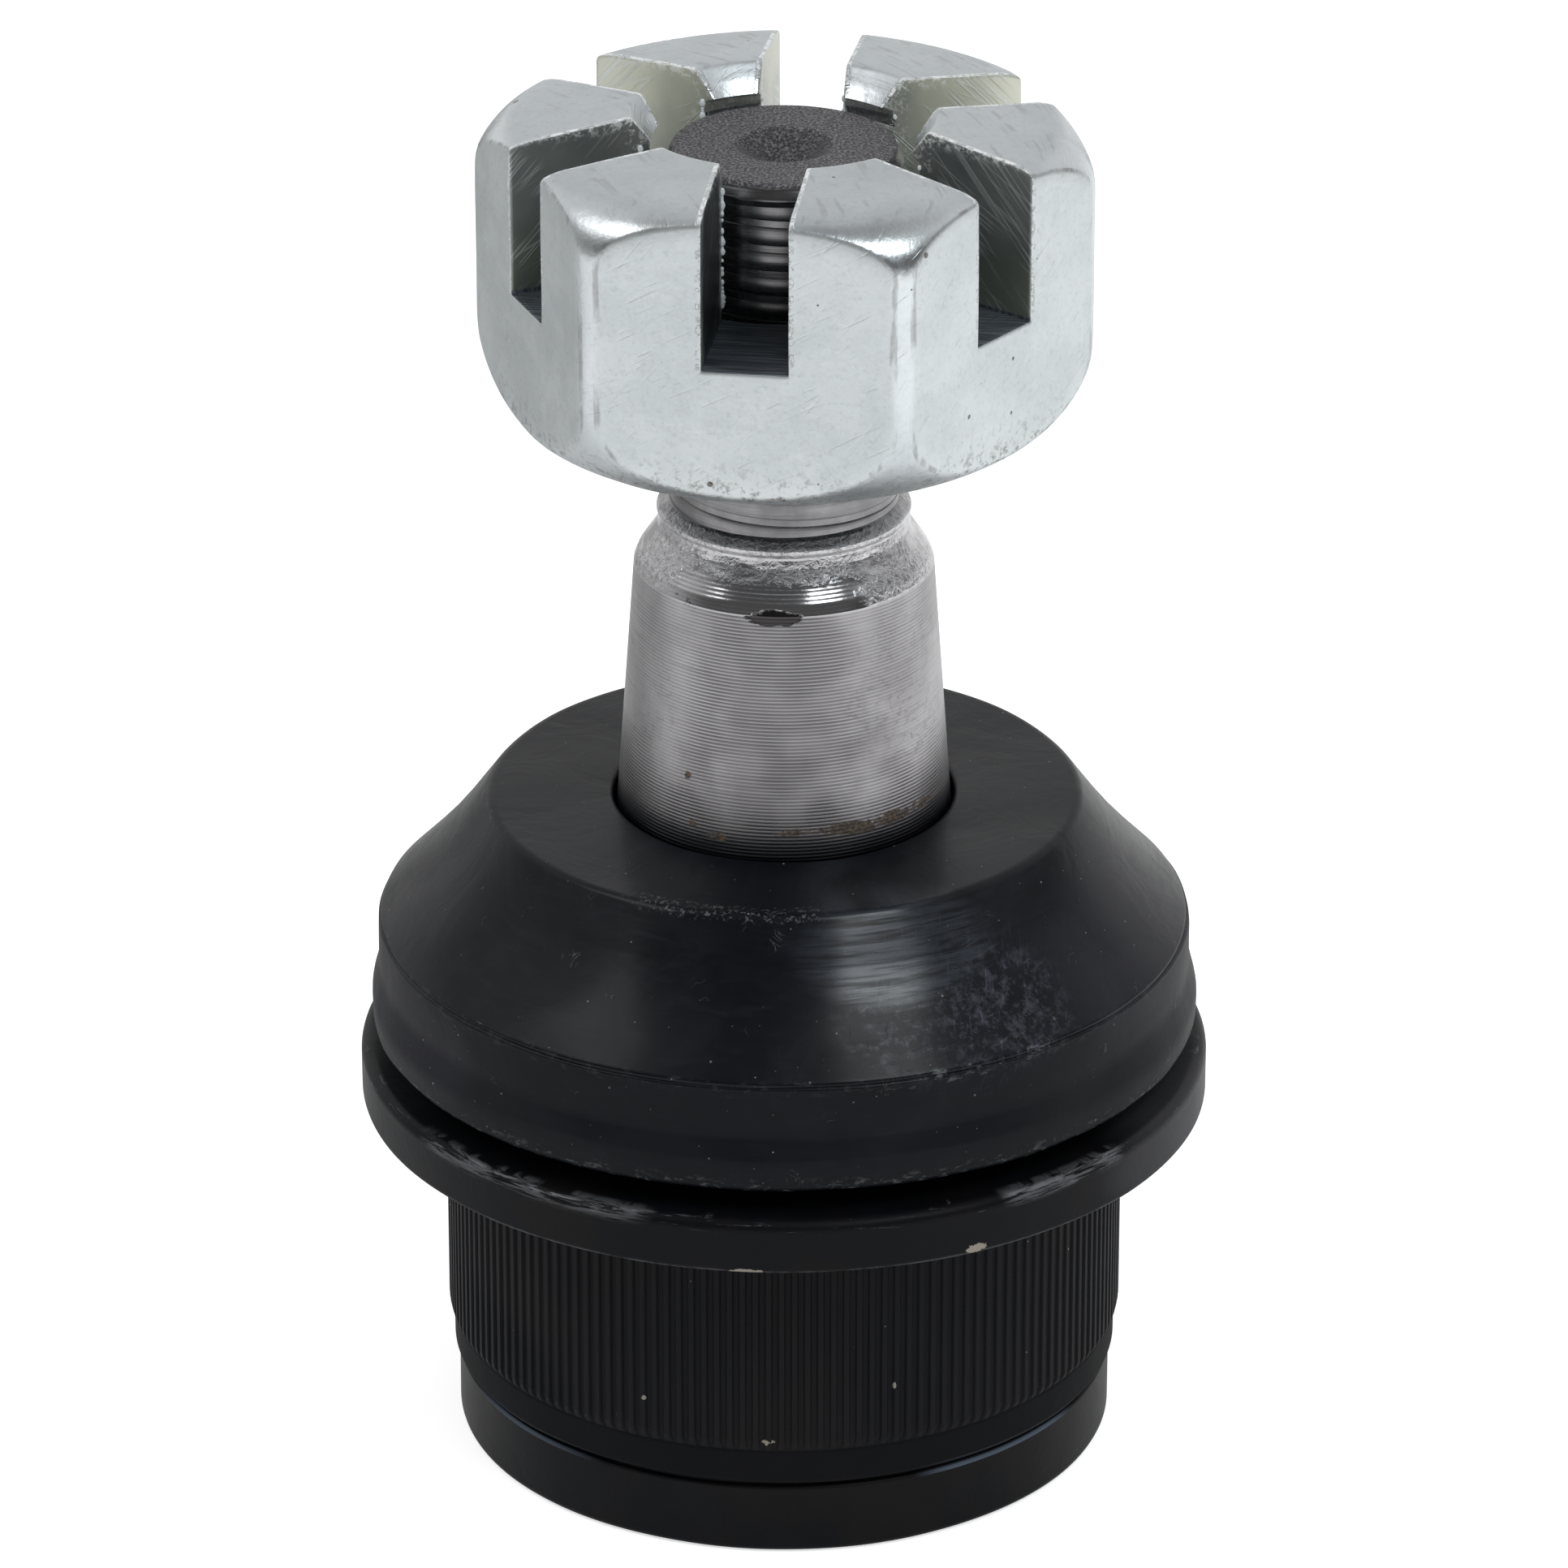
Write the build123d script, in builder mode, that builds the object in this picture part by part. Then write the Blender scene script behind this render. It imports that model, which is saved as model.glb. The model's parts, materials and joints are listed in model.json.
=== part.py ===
from build123d import *
from math import cos, hypot, pi, radians, sin, sqrt, tan
import os

# Press-in suspension ball joint, standing on the rim of its housing.
# Millimetres, +Z up the stud, z = 0 on the rim, the Z axis through every round piece.

os.makedirs("parts", exist_ok=True)

# --- Driving dimensions ---

# ball, its seats and its swing
ball_r = 17.0
ball_z = 23.0
ball_flat_r = 5.0
seat_gap = 0.03
bearing_gap = 0.05

# housing: pilot bands, knurled barrel, flange, collar
pilot_r = 25.65
pilot_top = 5.6
pilot_groove_r = 25.2
band_r = 26.0
band_bottom = 6.2
knurl_bottom = 8.95
knurl_r = 26.4
knurl_root_r = 26.02
knurl_count = 166
knurl_land_share = 0.42
flange_r = 32.9
flange_bottom = 27.95
flange_top = 32.2
collar_r = 27.0
collar_top = 38.6
mouth_r = 15.0
mouth_flare_r = 17.6

# bearings
bearing_bore_r = 20.5
bearing_shoulder_z = 31.6
upper_bearing_bottom = 23.6
lower_bearing_top = 22.6
lower_bearing_bottom = 4.5
grease_hole_r = 3.6

# bottom closure: disc spring, cover plate, grease fitting with its valve
lip_r = 20.8
lip_height = 1.2
spring_inner_r = 8.0
spring_outer_r = 19.5
spring_thickness = 0.8
spring_gap = 0.02
cover_r = 22.3
cover_top = 3.0
cover_dish_r = 12.0
cover_dish_rim_r = 14.5
cover_dish_depth = 0.6
cover_bend = 0.5
fitting_r = 3.0
fitting_bottom = lip_height - cover_dish_depth
fitting_top = 5.4
nipple_r = 0.6
valve_chamber_r = 1.25
valve_seat_height = 0.7
valve_roof = 0.4
check_ball_r = 1.0
check_ball_gap = 0.02
valve_wire_r = 0.12
valve_coil_r = 0.8
valve_coil_gap = 0.05
valve_coil_turns = 3

# boot and its two rings
boot_hole_r = 13.4
boot_top = 52.9
boot_top_r = 22.75
boot_waist = (26.95, 47.2)
boot_shoulder = (31.35, 42.7)
boot_neck = (31.4, 38.8)
boot_bulge = (32.05, 36.4)
boot_hem = (31.95, 34.2)
boot_lip_bottom = 47.6
boot_lip_wall = 2.9
boot_lip_bead = 1.5
boot_wall = 2.2
boot_inner_top_r = 20.95
boot_inner_shoulder_z = 41.5
ring_r = 29.2
ring_bottom = 34.3
ring_top = 40.0
ring_lip_r = 25.2
lip_ring_wire_r = 0.85
lip_ring_gap = 0.3
lip_ring_z = 49.45

# stud
neck_r = 10.0
neck_fillet = 3.0
neck_top = 43.0
taper_large = (13.08, 49.0)
taper_small = (11.44, 72.25)
shoulder = (11.14, 73.0)
relief_r = 9.35
relief_bottom = 75.5
relief_top = 77.0
relief_step = 0.2
thread_r = 9.8
thread_start = 77.4
stud_top = 105.8
end_face_r = 8.36
end_chamfer_height = 1.72
centre_mark_r = 3.75
centre_mark_depth = 2.25
cotter_hole_r = 2.5
cotter_hole_z = 98.5

# castle nut
nut_flats = 41.4
nut_bottom = 84.7
nut_top = 108.3
nut_corner_fillet = 2.8
nut_edge_r = 23.5
nut_crown_slope = 5.0
nut_crown_roll_r = 4.4
nut_face_r = 19.2
nut_base_slope = 28.0
nut_base_roll_r = 7.6
nut_bore_r = 9.85
nut_mouth_r = 11.45
nut_mouth_depth = 2.1
nut_bottom_mouth_r = 11.2
slot_width = 6.4
slot_floor = 95.65
slot_pairs = 3

margin = 1.0  # how far a cutting shape reaches past what it cuts

# --- Helper ---


def closed_outline(*corners):
    """Closed outline of a turned piece: (radius, height, rounding) at each corner."""
    points = [(r, z) for r, z, _ in corners]
    FilletPolyline(*points, radius=[rounding for *_, rounding in corners], close=True)


# --- Housing: forged cup with a knurled press barrel, a flange and a boot collar ---

with BuildPart() as housing:
    with BuildSketch(Plane.XZ):
        with BuildLine():
            closed_outline(
                (lip_r, 0, 0.3),
                (pilot_r, 0, 0.5),
                (pilot_r, pilot_top, 0.15),
                (pilot_groove_r, pilot_top + 0.1, 0),
                (pilot_groove_r, band_bottom - 0.1, 0),
                (band_r, band_bottom, 0.15),
                (band_r, flange_bottom, 0),
                (flange_r, flange_bottom, 0.3),
                (flange_r, flange_top, 0.9),
                (collar_r, flange_top, 0.4),
                (collar_r, collar_top, 0.5),
                (mouth_flare_r, collar_top, 0.5),
                (mouth_r, bearing_shoulder_z, 0),
                (bearing_bore_r, bearing_shoulder_z, 0),
                (bearing_bore_r, cover_top, 0),
                (cover_r, cover_top, 0),
                (cover_r, lip_height, 0),
                (lip_r, lip_height, 0),
            )
        make_face()
    revolve(axis=Axis.Z)
    # straight knurl: one tooth after another round the barrel, with crest arcs and V grooves
    with BuildSketch(Plane.XY.offset(knurl_bottom)):
        pitch = 360 / knurl_count
        land = pitch * knurl_land_share
        with BuildLine():
            for tooth in range(knurl_count):
                start = tooth * pitch
                crest = [
                    (knurl_r * cos(radians(a)), knurl_r * sin(radians(a)))
                    for a in (start, start + land / 2, start + land)
                ]
                groove = radians(start + (land + pitch) / 2)
                following = radians(start + pitch)
                ThreePointArc(*crest)
                Polyline(
                    crest[2],
                    (knurl_root_r * cos(groove), knurl_root_r * sin(groove)),
                    (knurl_r * cos(following), knurl_r * sin(following)),
                )
        make_face()
        Circle(band_r - margin, mode=Mode.SUBTRACT)
    extrude(amount=flange_bottom - knurl_bottom)
    # lead-in cone on the knurl's lower end
    with BuildSketch(Plane.XZ):
        with BuildLine():
            Polyline(
                (band_r, knurl_bottom),
                (knurl_r + margin, knurl_bottom),
                (knurl_r + margin, knurl_bottom + knurl_r + margin - band_r),
                close=True,
            )
        make_face()
    revolve(axis=Axis.Z, mode=Mode.SUBTRACT)
housing.part.label = "housing"
export_step(housing.part, "parts/housing.step")

# --- Bearings: the ball's two spherical seats ---

with BuildPart() as upper_bearing:
    with BuildSketch(Plane.XY.offset(upper_bearing_bottom)):
        Circle(bearing_bore_r)
    extrude(amount=bearing_shoulder_z - upper_bearing_bottom)
    with Locations((0, 0, ball_z)):
        Sphere(ball_r + seat_gap, mode=Mode.SUBTRACT)
upper_bearing.part.label = "upper_bearing"
export_step(upper_bearing.part, "parts/upper_bearing.step")

with BuildPart() as lower_bearing:
    with BuildSketch(Plane.XZ):
        with BuildLine():
            closed_outline(
                (grease_hole_r, lower_bearing_bottom, 0),
                (bearing_bore_r - bearing_gap, lower_bearing_bottom, 0.8),
                (bearing_bore_r - bearing_gap, lower_bearing_top, 0),
                (grease_hole_r, lower_bearing_top, 0),
            )
        make_face()
    revolve(axis=Axis.Z)
    with Locations((0, 0, ball_z)):
        Sphere(ball_r + seat_gap, mode=Mode.SUBTRACT)
lower_bearing.part.label = "lower_bearing"
export_step(lower_bearing.part, "parts/lower_bearing.step")

# --- Bottom closure: disc spring, cover plate and flush grease fitting with its valve ---

with BuildPart() as preload_spring:
    spring_top = lower_bearing_bottom - spring_gap
    with BuildSketch(Plane.XZ):
        with BuildLine():
            Polyline(
                (spring_outer_r, cover_top),
                (spring_outer_r, cover_top + spring_thickness),
                (spring_inner_r, spring_top),
                (spring_inner_r, spring_top - spring_thickness),
                close=True,
            )
        make_face()
    revolve(axis=Axis.Z)
preload_spring.part.label = "preload_spring"
export_step(preload_spring.part, "parts/preload_spring.step")

with BuildPart() as cover_plate:
    with BuildSketch(Plane.XZ):
        with BuildLine():
            closed_outline(
                (fitting_r, fitting_bottom, 0),
                (cover_dish_r, fitting_bottom, 1.0),
                (cover_dish_rim_r, lip_height, 1.0),
                (cover_r, lip_height, 0),
                (cover_r, cover_top, 0),
                (cover_dish_rim_r + cover_bend, cover_top, 1.0),
                (cover_dish_r + cover_bend, cover_top - cover_dish_depth, 1.0),
                (fitting_r, cover_top - cover_dish_depth, 0),
            )
        make_face()
    revolve(axis=Axis.Z)
cover_plate.part.label = "cover_plate"
export_step(cover_plate.part, "parts/cover_plate.step")

seat_bottom = fitting_bottom + valve_seat_height
seat_top = seat_bottom + valve_chamber_r - nipple_r
valve_roof_z = fitting_top - valve_roof
# the ball's centre is where a 45 degree seat cone, just clear of the ball, holds it
check_ball_z = seat_bottom - nipple_r + (check_ball_r + check_ball_gap) * sqrt(2)

with BuildPart() as grease_fitting:
    with BuildSketch(Plane.XZ):
        with BuildLine():
            Polyline(
                (nipple_r, fitting_bottom),
                (fitting_r, fitting_bottom),
                (fitting_r, fitting_top),
                (nipple_r, fitting_top),
                (nipple_r, valve_roof_z),
                (valve_chamber_r, valve_roof_z),
                (valve_chamber_r, seat_top),
                (nipple_r, seat_bottom),
                close=True,
            )
        make_face()
    revolve(axis=Axis.Z)
grease_fitting.part.label = "grease_fitting"
export_step(grease_fitting.part, "parts/grease_fitting.step")

with BuildPart() as fitting_check_ball:
    with Locations((0, 0, check_ball_z)):
        Sphere(check_ball_r)
fitting_check_ball.part.label = "fitting_check_ball"
export_step(fitting_check_ball.part, "parts/fitting_check_ball.step")

with BuildPart() as fitting_check_spring:
    # the lowest turn rests round the ball's shoulder
    rest_height = sqrt(check_ball_r**2 - (valve_coil_r - valve_wire_r) ** 2)
    coil_bottom = check_ball_z + rest_height + valve_wire_r + valve_coil_gap
    coil_height = valve_roof_z - valve_wire_r - check_ball_gap - coil_bottom
    coil_pitch = coil_height / valve_coil_turns
    with BuildLine() as coil_path:
        Helix(pitch=coil_pitch, height=coil_height, radius=valve_coil_r, center=(0, 0, coil_bottom))
    with BuildSketch(Plane(origin=coil_path.line @ 0, z_dir=coil_path.line % 0)):
        Circle(valve_wire_r)
    sweep(is_frenet=True)
fitting_check_spring.part.label = "fitting_check_spring"
export_step(fitting_check_spring.part, "parts/fitting_check_spring.step")

# --- Boot with the steel ring in its skirt and the wire ring in its lip ---

with BuildPart() as boot_base_ring:
    with BuildSketch(Plane.XZ):
        with BuildLine():
            closed_outline(
                (collar_r, ring_bottom, 0.3),
                (ring_r, ring_bottom, 0),
                (ring_r, ring_top, 0.6),
                (ring_lip_r, ring_top, 0.3),
                (ring_lip_r, collar_top, 0),
                (collar_r, collar_top, 0),
            )
        make_face()
    revolve(axis=Axis.Z)
boot_base_ring.part.label = "boot_base_ring"
export_step(boot_base_ring.part, "parts/boot_base_ring.step")

# the cone's direction gives the inner outline, one wall inside the outer one
cone_run = boot_shoulder[0] - boot_top_r
cone_rise = boot_top - boot_shoulder[1]
cone_length = hypot(cone_run, cone_rise)
inner_waist = (
    boot_waist[0] - boot_wall * cone_rise / cone_length,
    boot_waist[1] - boot_wall * cone_run / cone_length,
)
lip_outer_r = boot_hole_r + boot_lip_wall
lip_bead_r = lip_outer_r + boot_lip_bead

with BuildPart() as dust_boot:
    with BuildSketch(Plane.XZ):
        with BuildLine():
            closed_outline(
                (ring_r, boot_hem[1], 0),
                (*boot_hem, 0.7),
                (*boot_bulge, 3.0),
                (*boot_neck, 3.0),
                (*boot_shoulder, 1.2),
                (*boot_waist, 40),
                (boot_top_r, boot_top, 0.7),
                (boot_hole_r, boot_top, 0.4),
                (boot_hole_r, boot_lip_bottom, 0.4),
                (lip_bead_r, boot_lip_bottom - 0.3, 0.2),
                (lip_bead_r, boot_lip_bottom + 0.5, 0.2),
                (lip_outer_r, boot_lip_bottom + 0.7, 0.3),
                (lip_outer_r, boot_top - boot_wall - 0.1, 0.3),
                (boot_inner_top_r, boot_top - boot_wall, 1.0),
                (*inner_waist, 40),
                (ring_r, boot_inner_shoulder_z, 1.0),
            )
        make_face()
    revolve(axis=Axis.Z)
dust_boot.part.label = "dust_boot"
export_step(dust_boot.part, "parts/dust_boot.step")

with BuildPart() as boot_lip_ring:
    with Locations((0, 0, lip_ring_z)):
        Torus(lip_outer_r + lip_ring_gap + lip_ring_wire_r, lip_ring_wire_r)
boot_lip_ring.part.label = "boot_lip_ring"
export_step(boot_lip_ring.part, "parts/boot_lip_ring.step")

# --- Ball stud: ball, neck, taper, relief, threaded end with a centre mark and a cotter hole ---

with BuildPart() as ball_stud:
    with BuildSketch(Plane.XZ):
        with BuildLine():
            closed_outline(
                (0, ball_z, 0),
                (neck_r, ball_z, 0),
                (neck_r, neck_top, 8),
                (*taper_large, 1.2),
                (*taper_small, 0.6),
                (*shoulder, 0.4),
                (relief_r + relief_step, relief_bottom, 0.4),
                (relief_r, relief_bottom + 0.3, 0.2),
                (relief_r, relief_top, 0.2),
                (thread_r, thread_start, 0),
                (thread_r, stud_top - end_chamfer_height, 0),
                (end_face_r, stud_top, 0.2),
                (centre_mark_r, stud_top, 0),
                (0, stud_top - centre_mark_depth, 0),
            )
        make_face()
    revolve(axis=Axis.Z)
    with Locations((0, 0, ball_z)):
        Sphere(ball_r)
    neck_edges = ball_stud.edges().filter_by(GeomType.CIRCLE)
    fillet(
        neck_edges.filter_by(lambda edge: abs(edge.radius - neck_r) < 0.01)
        .filter_by_position(Axis.Z, ball_z + ball_r / 2, neck_top - neck_fillet),
        radius=neck_fillet,
    )
    # the turning centre's flat under the ball
    with BuildSketch(Plane.XY.offset(ball_z - ball_r - margin)):
        Circle(ball_r)
    extrude(amount=margin + ball_r - sqrt(ball_r**2 - ball_flat_r**2), mode=Mode.SUBTRACT)
    # cotter hole across the thread, in line with one pair of the nut's slots
    across = (sin(pi / slot_pairs), cos(pi / slot_pairs), 0)
    with BuildSketch(Plane(origin=(0, 0, cotter_hole_z), z_dir=across)):
        Circle(cotter_hole_r)
    extrude(amount=thread_r + margin, both=True, mode=Mode.SUBTRACT)
ball_stud.part.label = "ball_stud"
export_step(ball_stud.part, "parts/ball_stud.step")

# --- Castle nut: hexagon with rolled top and bottom edges and six slots on its flats ---

with BuildPart() as castle_nut:
    with BuildSketch(Plane.XY.offset(nut_bottom)):
        RegularPolygon(nut_flats / 2, 6, major_radius=False)
    extrude(amount=nut_top - nut_bottom)
    fillet(castle_nut.edges().filter_by(Axis.Z), radius=nut_corner_fillet)
    crown_edge_z = nut_top - (nut_edge_r - nut_mouth_r) * tan(radians(nut_crown_slope))
    base_edge_z = nut_bottom + (nut_edge_r - nut_face_r) * tan(radians(nut_base_slope))
    with BuildSketch(Plane.XZ):
        with BuildLine():
            closed_outline(
                (nut_bore_r, nut_bottom + nut_bottom_mouth_r - nut_bore_r, 0),
                (nut_bottom_mouth_r, nut_bottom, 0),
                (nut_face_r, nut_bottom, 0),
                (nut_edge_r, base_edge_z, nut_base_roll_r),
                (nut_edge_r, crown_edge_z, nut_crown_roll_r),
                (nut_mouth_r, nut_top, 0),
                (nut_bore_r, nut_top - nut_mouth_depth, 0),
            )
        make_face()
    revolve(axis=Axis.Z, mode=Mode.INTERSECT)
    with BuildSketch(Plane.XY.offset(slot_floor)):
        with PolarLocations(0, slot_pairs, angular_range=180):
            Rectangle(2 * (nut_edge_r + margin), slot_width, rotation=90)
    extrude(amount=nut_top - slot_floor + margin, mode=Mode.SUBTRACT)
castle_nut.part.label = "castle_nut"
export_step(castle_nut.part, "parts/castle_nut.step")
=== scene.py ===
"""Dressed scene of a press-in suspension ball joint: its pieces, finishes, studio and camera.

Sizes are millimetres, and meshes are scaled to metres when they are made. The Z axis runs up the
stud, z = 0 is the rim of the housing, and "front" is the side that the camera sees.
"""

import json
import logging
import math
from collections.abc import Callable, Mapping, Sequence
from dataclasses import dataclass, field
from enum import Enum

import bmesh
import bpy
import numpy as np
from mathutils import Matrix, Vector, noise

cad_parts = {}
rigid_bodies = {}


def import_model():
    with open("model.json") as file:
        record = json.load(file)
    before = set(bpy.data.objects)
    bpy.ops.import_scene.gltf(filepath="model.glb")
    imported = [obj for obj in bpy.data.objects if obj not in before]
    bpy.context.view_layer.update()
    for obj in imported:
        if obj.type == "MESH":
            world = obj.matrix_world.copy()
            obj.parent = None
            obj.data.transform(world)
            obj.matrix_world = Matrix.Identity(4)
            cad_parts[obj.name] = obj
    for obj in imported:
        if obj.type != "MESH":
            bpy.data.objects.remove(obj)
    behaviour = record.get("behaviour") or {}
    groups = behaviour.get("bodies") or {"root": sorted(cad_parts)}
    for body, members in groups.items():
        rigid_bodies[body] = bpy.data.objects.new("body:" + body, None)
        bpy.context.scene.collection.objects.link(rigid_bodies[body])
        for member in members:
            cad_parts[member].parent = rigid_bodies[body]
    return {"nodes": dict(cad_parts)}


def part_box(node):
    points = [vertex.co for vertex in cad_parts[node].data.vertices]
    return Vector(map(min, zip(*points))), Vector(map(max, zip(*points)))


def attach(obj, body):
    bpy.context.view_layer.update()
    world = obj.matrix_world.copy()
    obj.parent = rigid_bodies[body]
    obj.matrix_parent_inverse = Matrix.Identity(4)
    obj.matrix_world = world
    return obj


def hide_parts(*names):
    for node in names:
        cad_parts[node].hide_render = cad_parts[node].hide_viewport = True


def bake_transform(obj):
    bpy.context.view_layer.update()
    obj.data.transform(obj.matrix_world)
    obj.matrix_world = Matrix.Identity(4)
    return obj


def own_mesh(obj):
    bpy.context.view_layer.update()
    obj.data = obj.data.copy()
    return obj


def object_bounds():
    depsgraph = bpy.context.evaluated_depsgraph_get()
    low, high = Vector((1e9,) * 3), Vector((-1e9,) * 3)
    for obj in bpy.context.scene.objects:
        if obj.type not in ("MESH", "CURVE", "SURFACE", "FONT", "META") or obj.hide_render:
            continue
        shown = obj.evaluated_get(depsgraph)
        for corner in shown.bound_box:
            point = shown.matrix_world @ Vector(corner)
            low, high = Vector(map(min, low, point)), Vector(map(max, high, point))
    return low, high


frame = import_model()
CAD_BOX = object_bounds()

MM = 0.001
FRONT_ANGLE = -82.0  # degrees from +X, the side of every round piece that faces the camera

# Sizes in millimetres that both a shape and its finish need.
SLOT_HALF = 3.2
SLOT_FLOOR = 95.65
KNURL_BOTTOM = 8.95
KNURL_ROOT_R = 26.22
GROOVE_TOP = 6.2
FLANGE_BOTTOM = 27.95
FLANGE_TOP = 32.2
BOOT_CREASE = 42.7
END_MARK_R = 3.75

THREAD_PITCH = 2.0
THREAD_CREST_HALF = 0.16
THREAD_FLANK = math.radians(30)
THREAD_STEPS = 90  # points in one turn
THREAD_LEAD = 0.6  # turns over which a ridge rises from its root
SHARP_EDGE = math.radians(42)
WHITE = (1.0, 1.0, 1.0)

log = logging.getLogger("ball_joint")


# --- Shader graphs -----------------------------------------------------------------------------


def math_method(operation: str, swapped: bool = False) -> Callable[..., "Channel"]:
    """A method of Channel that adds one Math node.

    Args:
        operation: The node's operation.
        swapped: Whether the channel is the operation's second value.

    Returns:
        The method.
    """

    def method(self: "Channel", *others: "Feed") -> "Channel":
        """Adds the Math node."""
        values = (*others, self) if swapped else (self, *others)
        return self.graph.math(operation, *values)

    return method


class Channel:
    """A float socket in a node tree, with arithmetic that adds Math nodes."""

    def __init__(self, graph: "Graph", socket: bpy.types.NodeSocket) -> None:
        """Wraps one output socket of the graph."""
        self.graph = graph
        self.socket = socket

    __add__ = __radd__ = math_method("ADD")
    __sub__ = math_method("SUBTRACT")
    __rsub__ = math_method("SUBTRACT", swapped=True)
    __mul__ = __rmul__ = math_method("MULTIPLY")
    __truediv__ = math_method("DIVIDE")
    __rtruediv__ = math_method("DIVIDE", swapped=True)
    __pow__ = math_method("POWER")
    __abs__ = math_method("ABSOLUTE")
    at_least = math_method("MAXIMUM")
    at_most = math_method("MINIMUM")
    sine = math_method("SINE")

    def rise(self, low: float, high: float) -> "Channel":
        """0 below low and 1 above high, smooth between them.

        Args:
            low: Value where the result starts to rise.
            high: Value where it reaches 1.

        Returns:
            The smooth step.
        """
        node = self.graph.node(
            "ShaderNodeMapRange",
            {"interpolation_type": "SMOOTHSTEP"},
            {"Value": self, "From Min": low, "From Max": high},
        )
        return Channel(self.graph, node.outputs["Result"])

    def fall(self, low: float, high: float) -> "Channel":
        """1 below low and 0 above high, smooth between them."""
        return 1.0 - self.rise(low, high)

    def band(self, low: float, high: float, soft: float) -> "Channel":
        """1 between low and high, fading to 0 over soft on both sides."""
        return self.rise(low - soft, low) * self.fall(high, high + soft)


Feed = Channel | float
Colour = tuple[float, float, float] | bpy.types.NodeSocket


class NodeMaker:
    """Adds nodes to one node tree and links them."""

    tree: bpy.types.NodeTree

    def node(
        self,
        kind: str,
        settings: Mapping[str, object] | None = None,
        inputs: Mapping[str | int, object] | None = None,
    ) -> bpy.types.Node:
        """Adds one node.

        Args:
            kind: The node's type, such as "ShaderNodeMath".
            settings: Its properties, set before its sockets.
            inputs: Values or links of its input sockets, by name or number.

        Returns:
            The new node.
        """
        node = self.tree.nodes.new(kind)
        for name, value in (settings or {}).items():
            setattr(node, name, value)
        for key, value in (inputs or {}).items():
            socket = node.inputs[key]
            source = value.socket if isinstance(value, Channel) else value
            if isinstance(source, bpy.types.NodeSocket):
                self.tree.links.new(source, socket)
            elif isinstance(source, tuple) and socket.type == "RGBA":
                socket.default_value = (*source, 1.0)
            else:
                socket.default_value = source
        return node


class Graph(NodeMaker):
    """A shader node tree."""

    def __init__(self, tree: bpy.types.NodeTree) -> None:
        """Empties the tree and keeps it."""
        tree.nodes.clear()
        self.tree = tree

    def math(self, operation: str, *values: Feed) -> Channel:
        """One Math node on the given values."""
        node = self.node("ShaderNodeMath", {"operation": operation}, dict(enumerate(values)))
        return Channel(self, node.outputs[0])

    def vector(self, x: Feed, y: Feed, z: Feed) -> bpy.types.NodeSocket:
        """Combines three values into a vector."""
        return self.node("ShaderNodeCombineXYZ", {}, {"X": x, "Y": y, "Z": z}).outputs[0]

    def split(self, vector: bpy.types.NodeSocket) -> tuple[Channel, Channel, Channel]:
        """Splits a vector into its three values."""
        node = self.node("ShaderNodeSeparateXYZ", {}, {0: vector})
        x, y, z = (Channel(self, out) for out in node.outputs)
        return x, y, z

    def noise(
        self, at: bpy.types.NodeSocket, detail: float = 2.0, grit: float = 0.5, warp: float = 0.0
    ) -> Channel:
        """Noise from about 0 to 1 with one feature for each unit of the vector.

        Args:
            at: The vector that is read.
            detail: Number of finer octaves.
            grit: Share that each finer octave keeps.
            warp: Distortion of the pattern.

        Returns:
            The noise value.
        """
        node = self.node(
            "ShaderNodeTexNoise",
            {},
            {"Vector": at, "Scale": 1.0, "Detail": detail, "Roughness": grit, "Distortion": warp},
        )
        return Channel(self, node.outputs[0])

    def specks(self, at: bpy.types.NodeSocket, share: float, size: float) -> Channel:
        """Small round spots, each in its own cell of the vector.

        Args:
            at: The vector that is read.
            share: Share of the cells that hold a spot.
            size: Largest radius of a spot in cells.

        Returns:
            1 inside a spot and 0 outside.
        """
        node = self.node("ShaderNodeTexVoronoi", {"feature": "F1"}, {"Vector": at, "Scale": 1.0})
        chance, scale, _ = self.split(node.outputs["Color"])
        distance = Channel(self, node.outputs["Distance"])
        radius = size * (0.35 + 0.65 * scale)
        return (radius - distance).rise(0.0, 0.25 * size) * chance.fall(share, share + 0.01)

    def mix(self, under: Colour, over: Colour, share: Feed) -> bpy.types.NodeSocket:
        """Blends two colours by share, from under at 0 to over at 1."""
        node = self.node("ShaderNodeMix", {"data_type": "RGBA"}, {0: share, 6: under, 7: over})
        return node.outputs[2]

    def bump(self, height: Channel) -> bpy.types.NodeSocket:
        """A normal bumped by a height in millimetres."""
        return self.node("ShaderNodeBump", {}, {"Height": height, "Distance": MM}).outputs[0]


class Layers:
    """A colour built up of layers."""

    def __init__(self, graph: Graph, lowest: Colour) -> None:
        """Starts with the lowest colour."""
        self.graph = graph
        self.top = lowest

    def over(self, colour: Colour, share: Feed) -> None:
        """Lays a colour over the others, by a share from 0 to 1."""
        self.top = self.graph.mix(self.top, colour, share)


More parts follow.
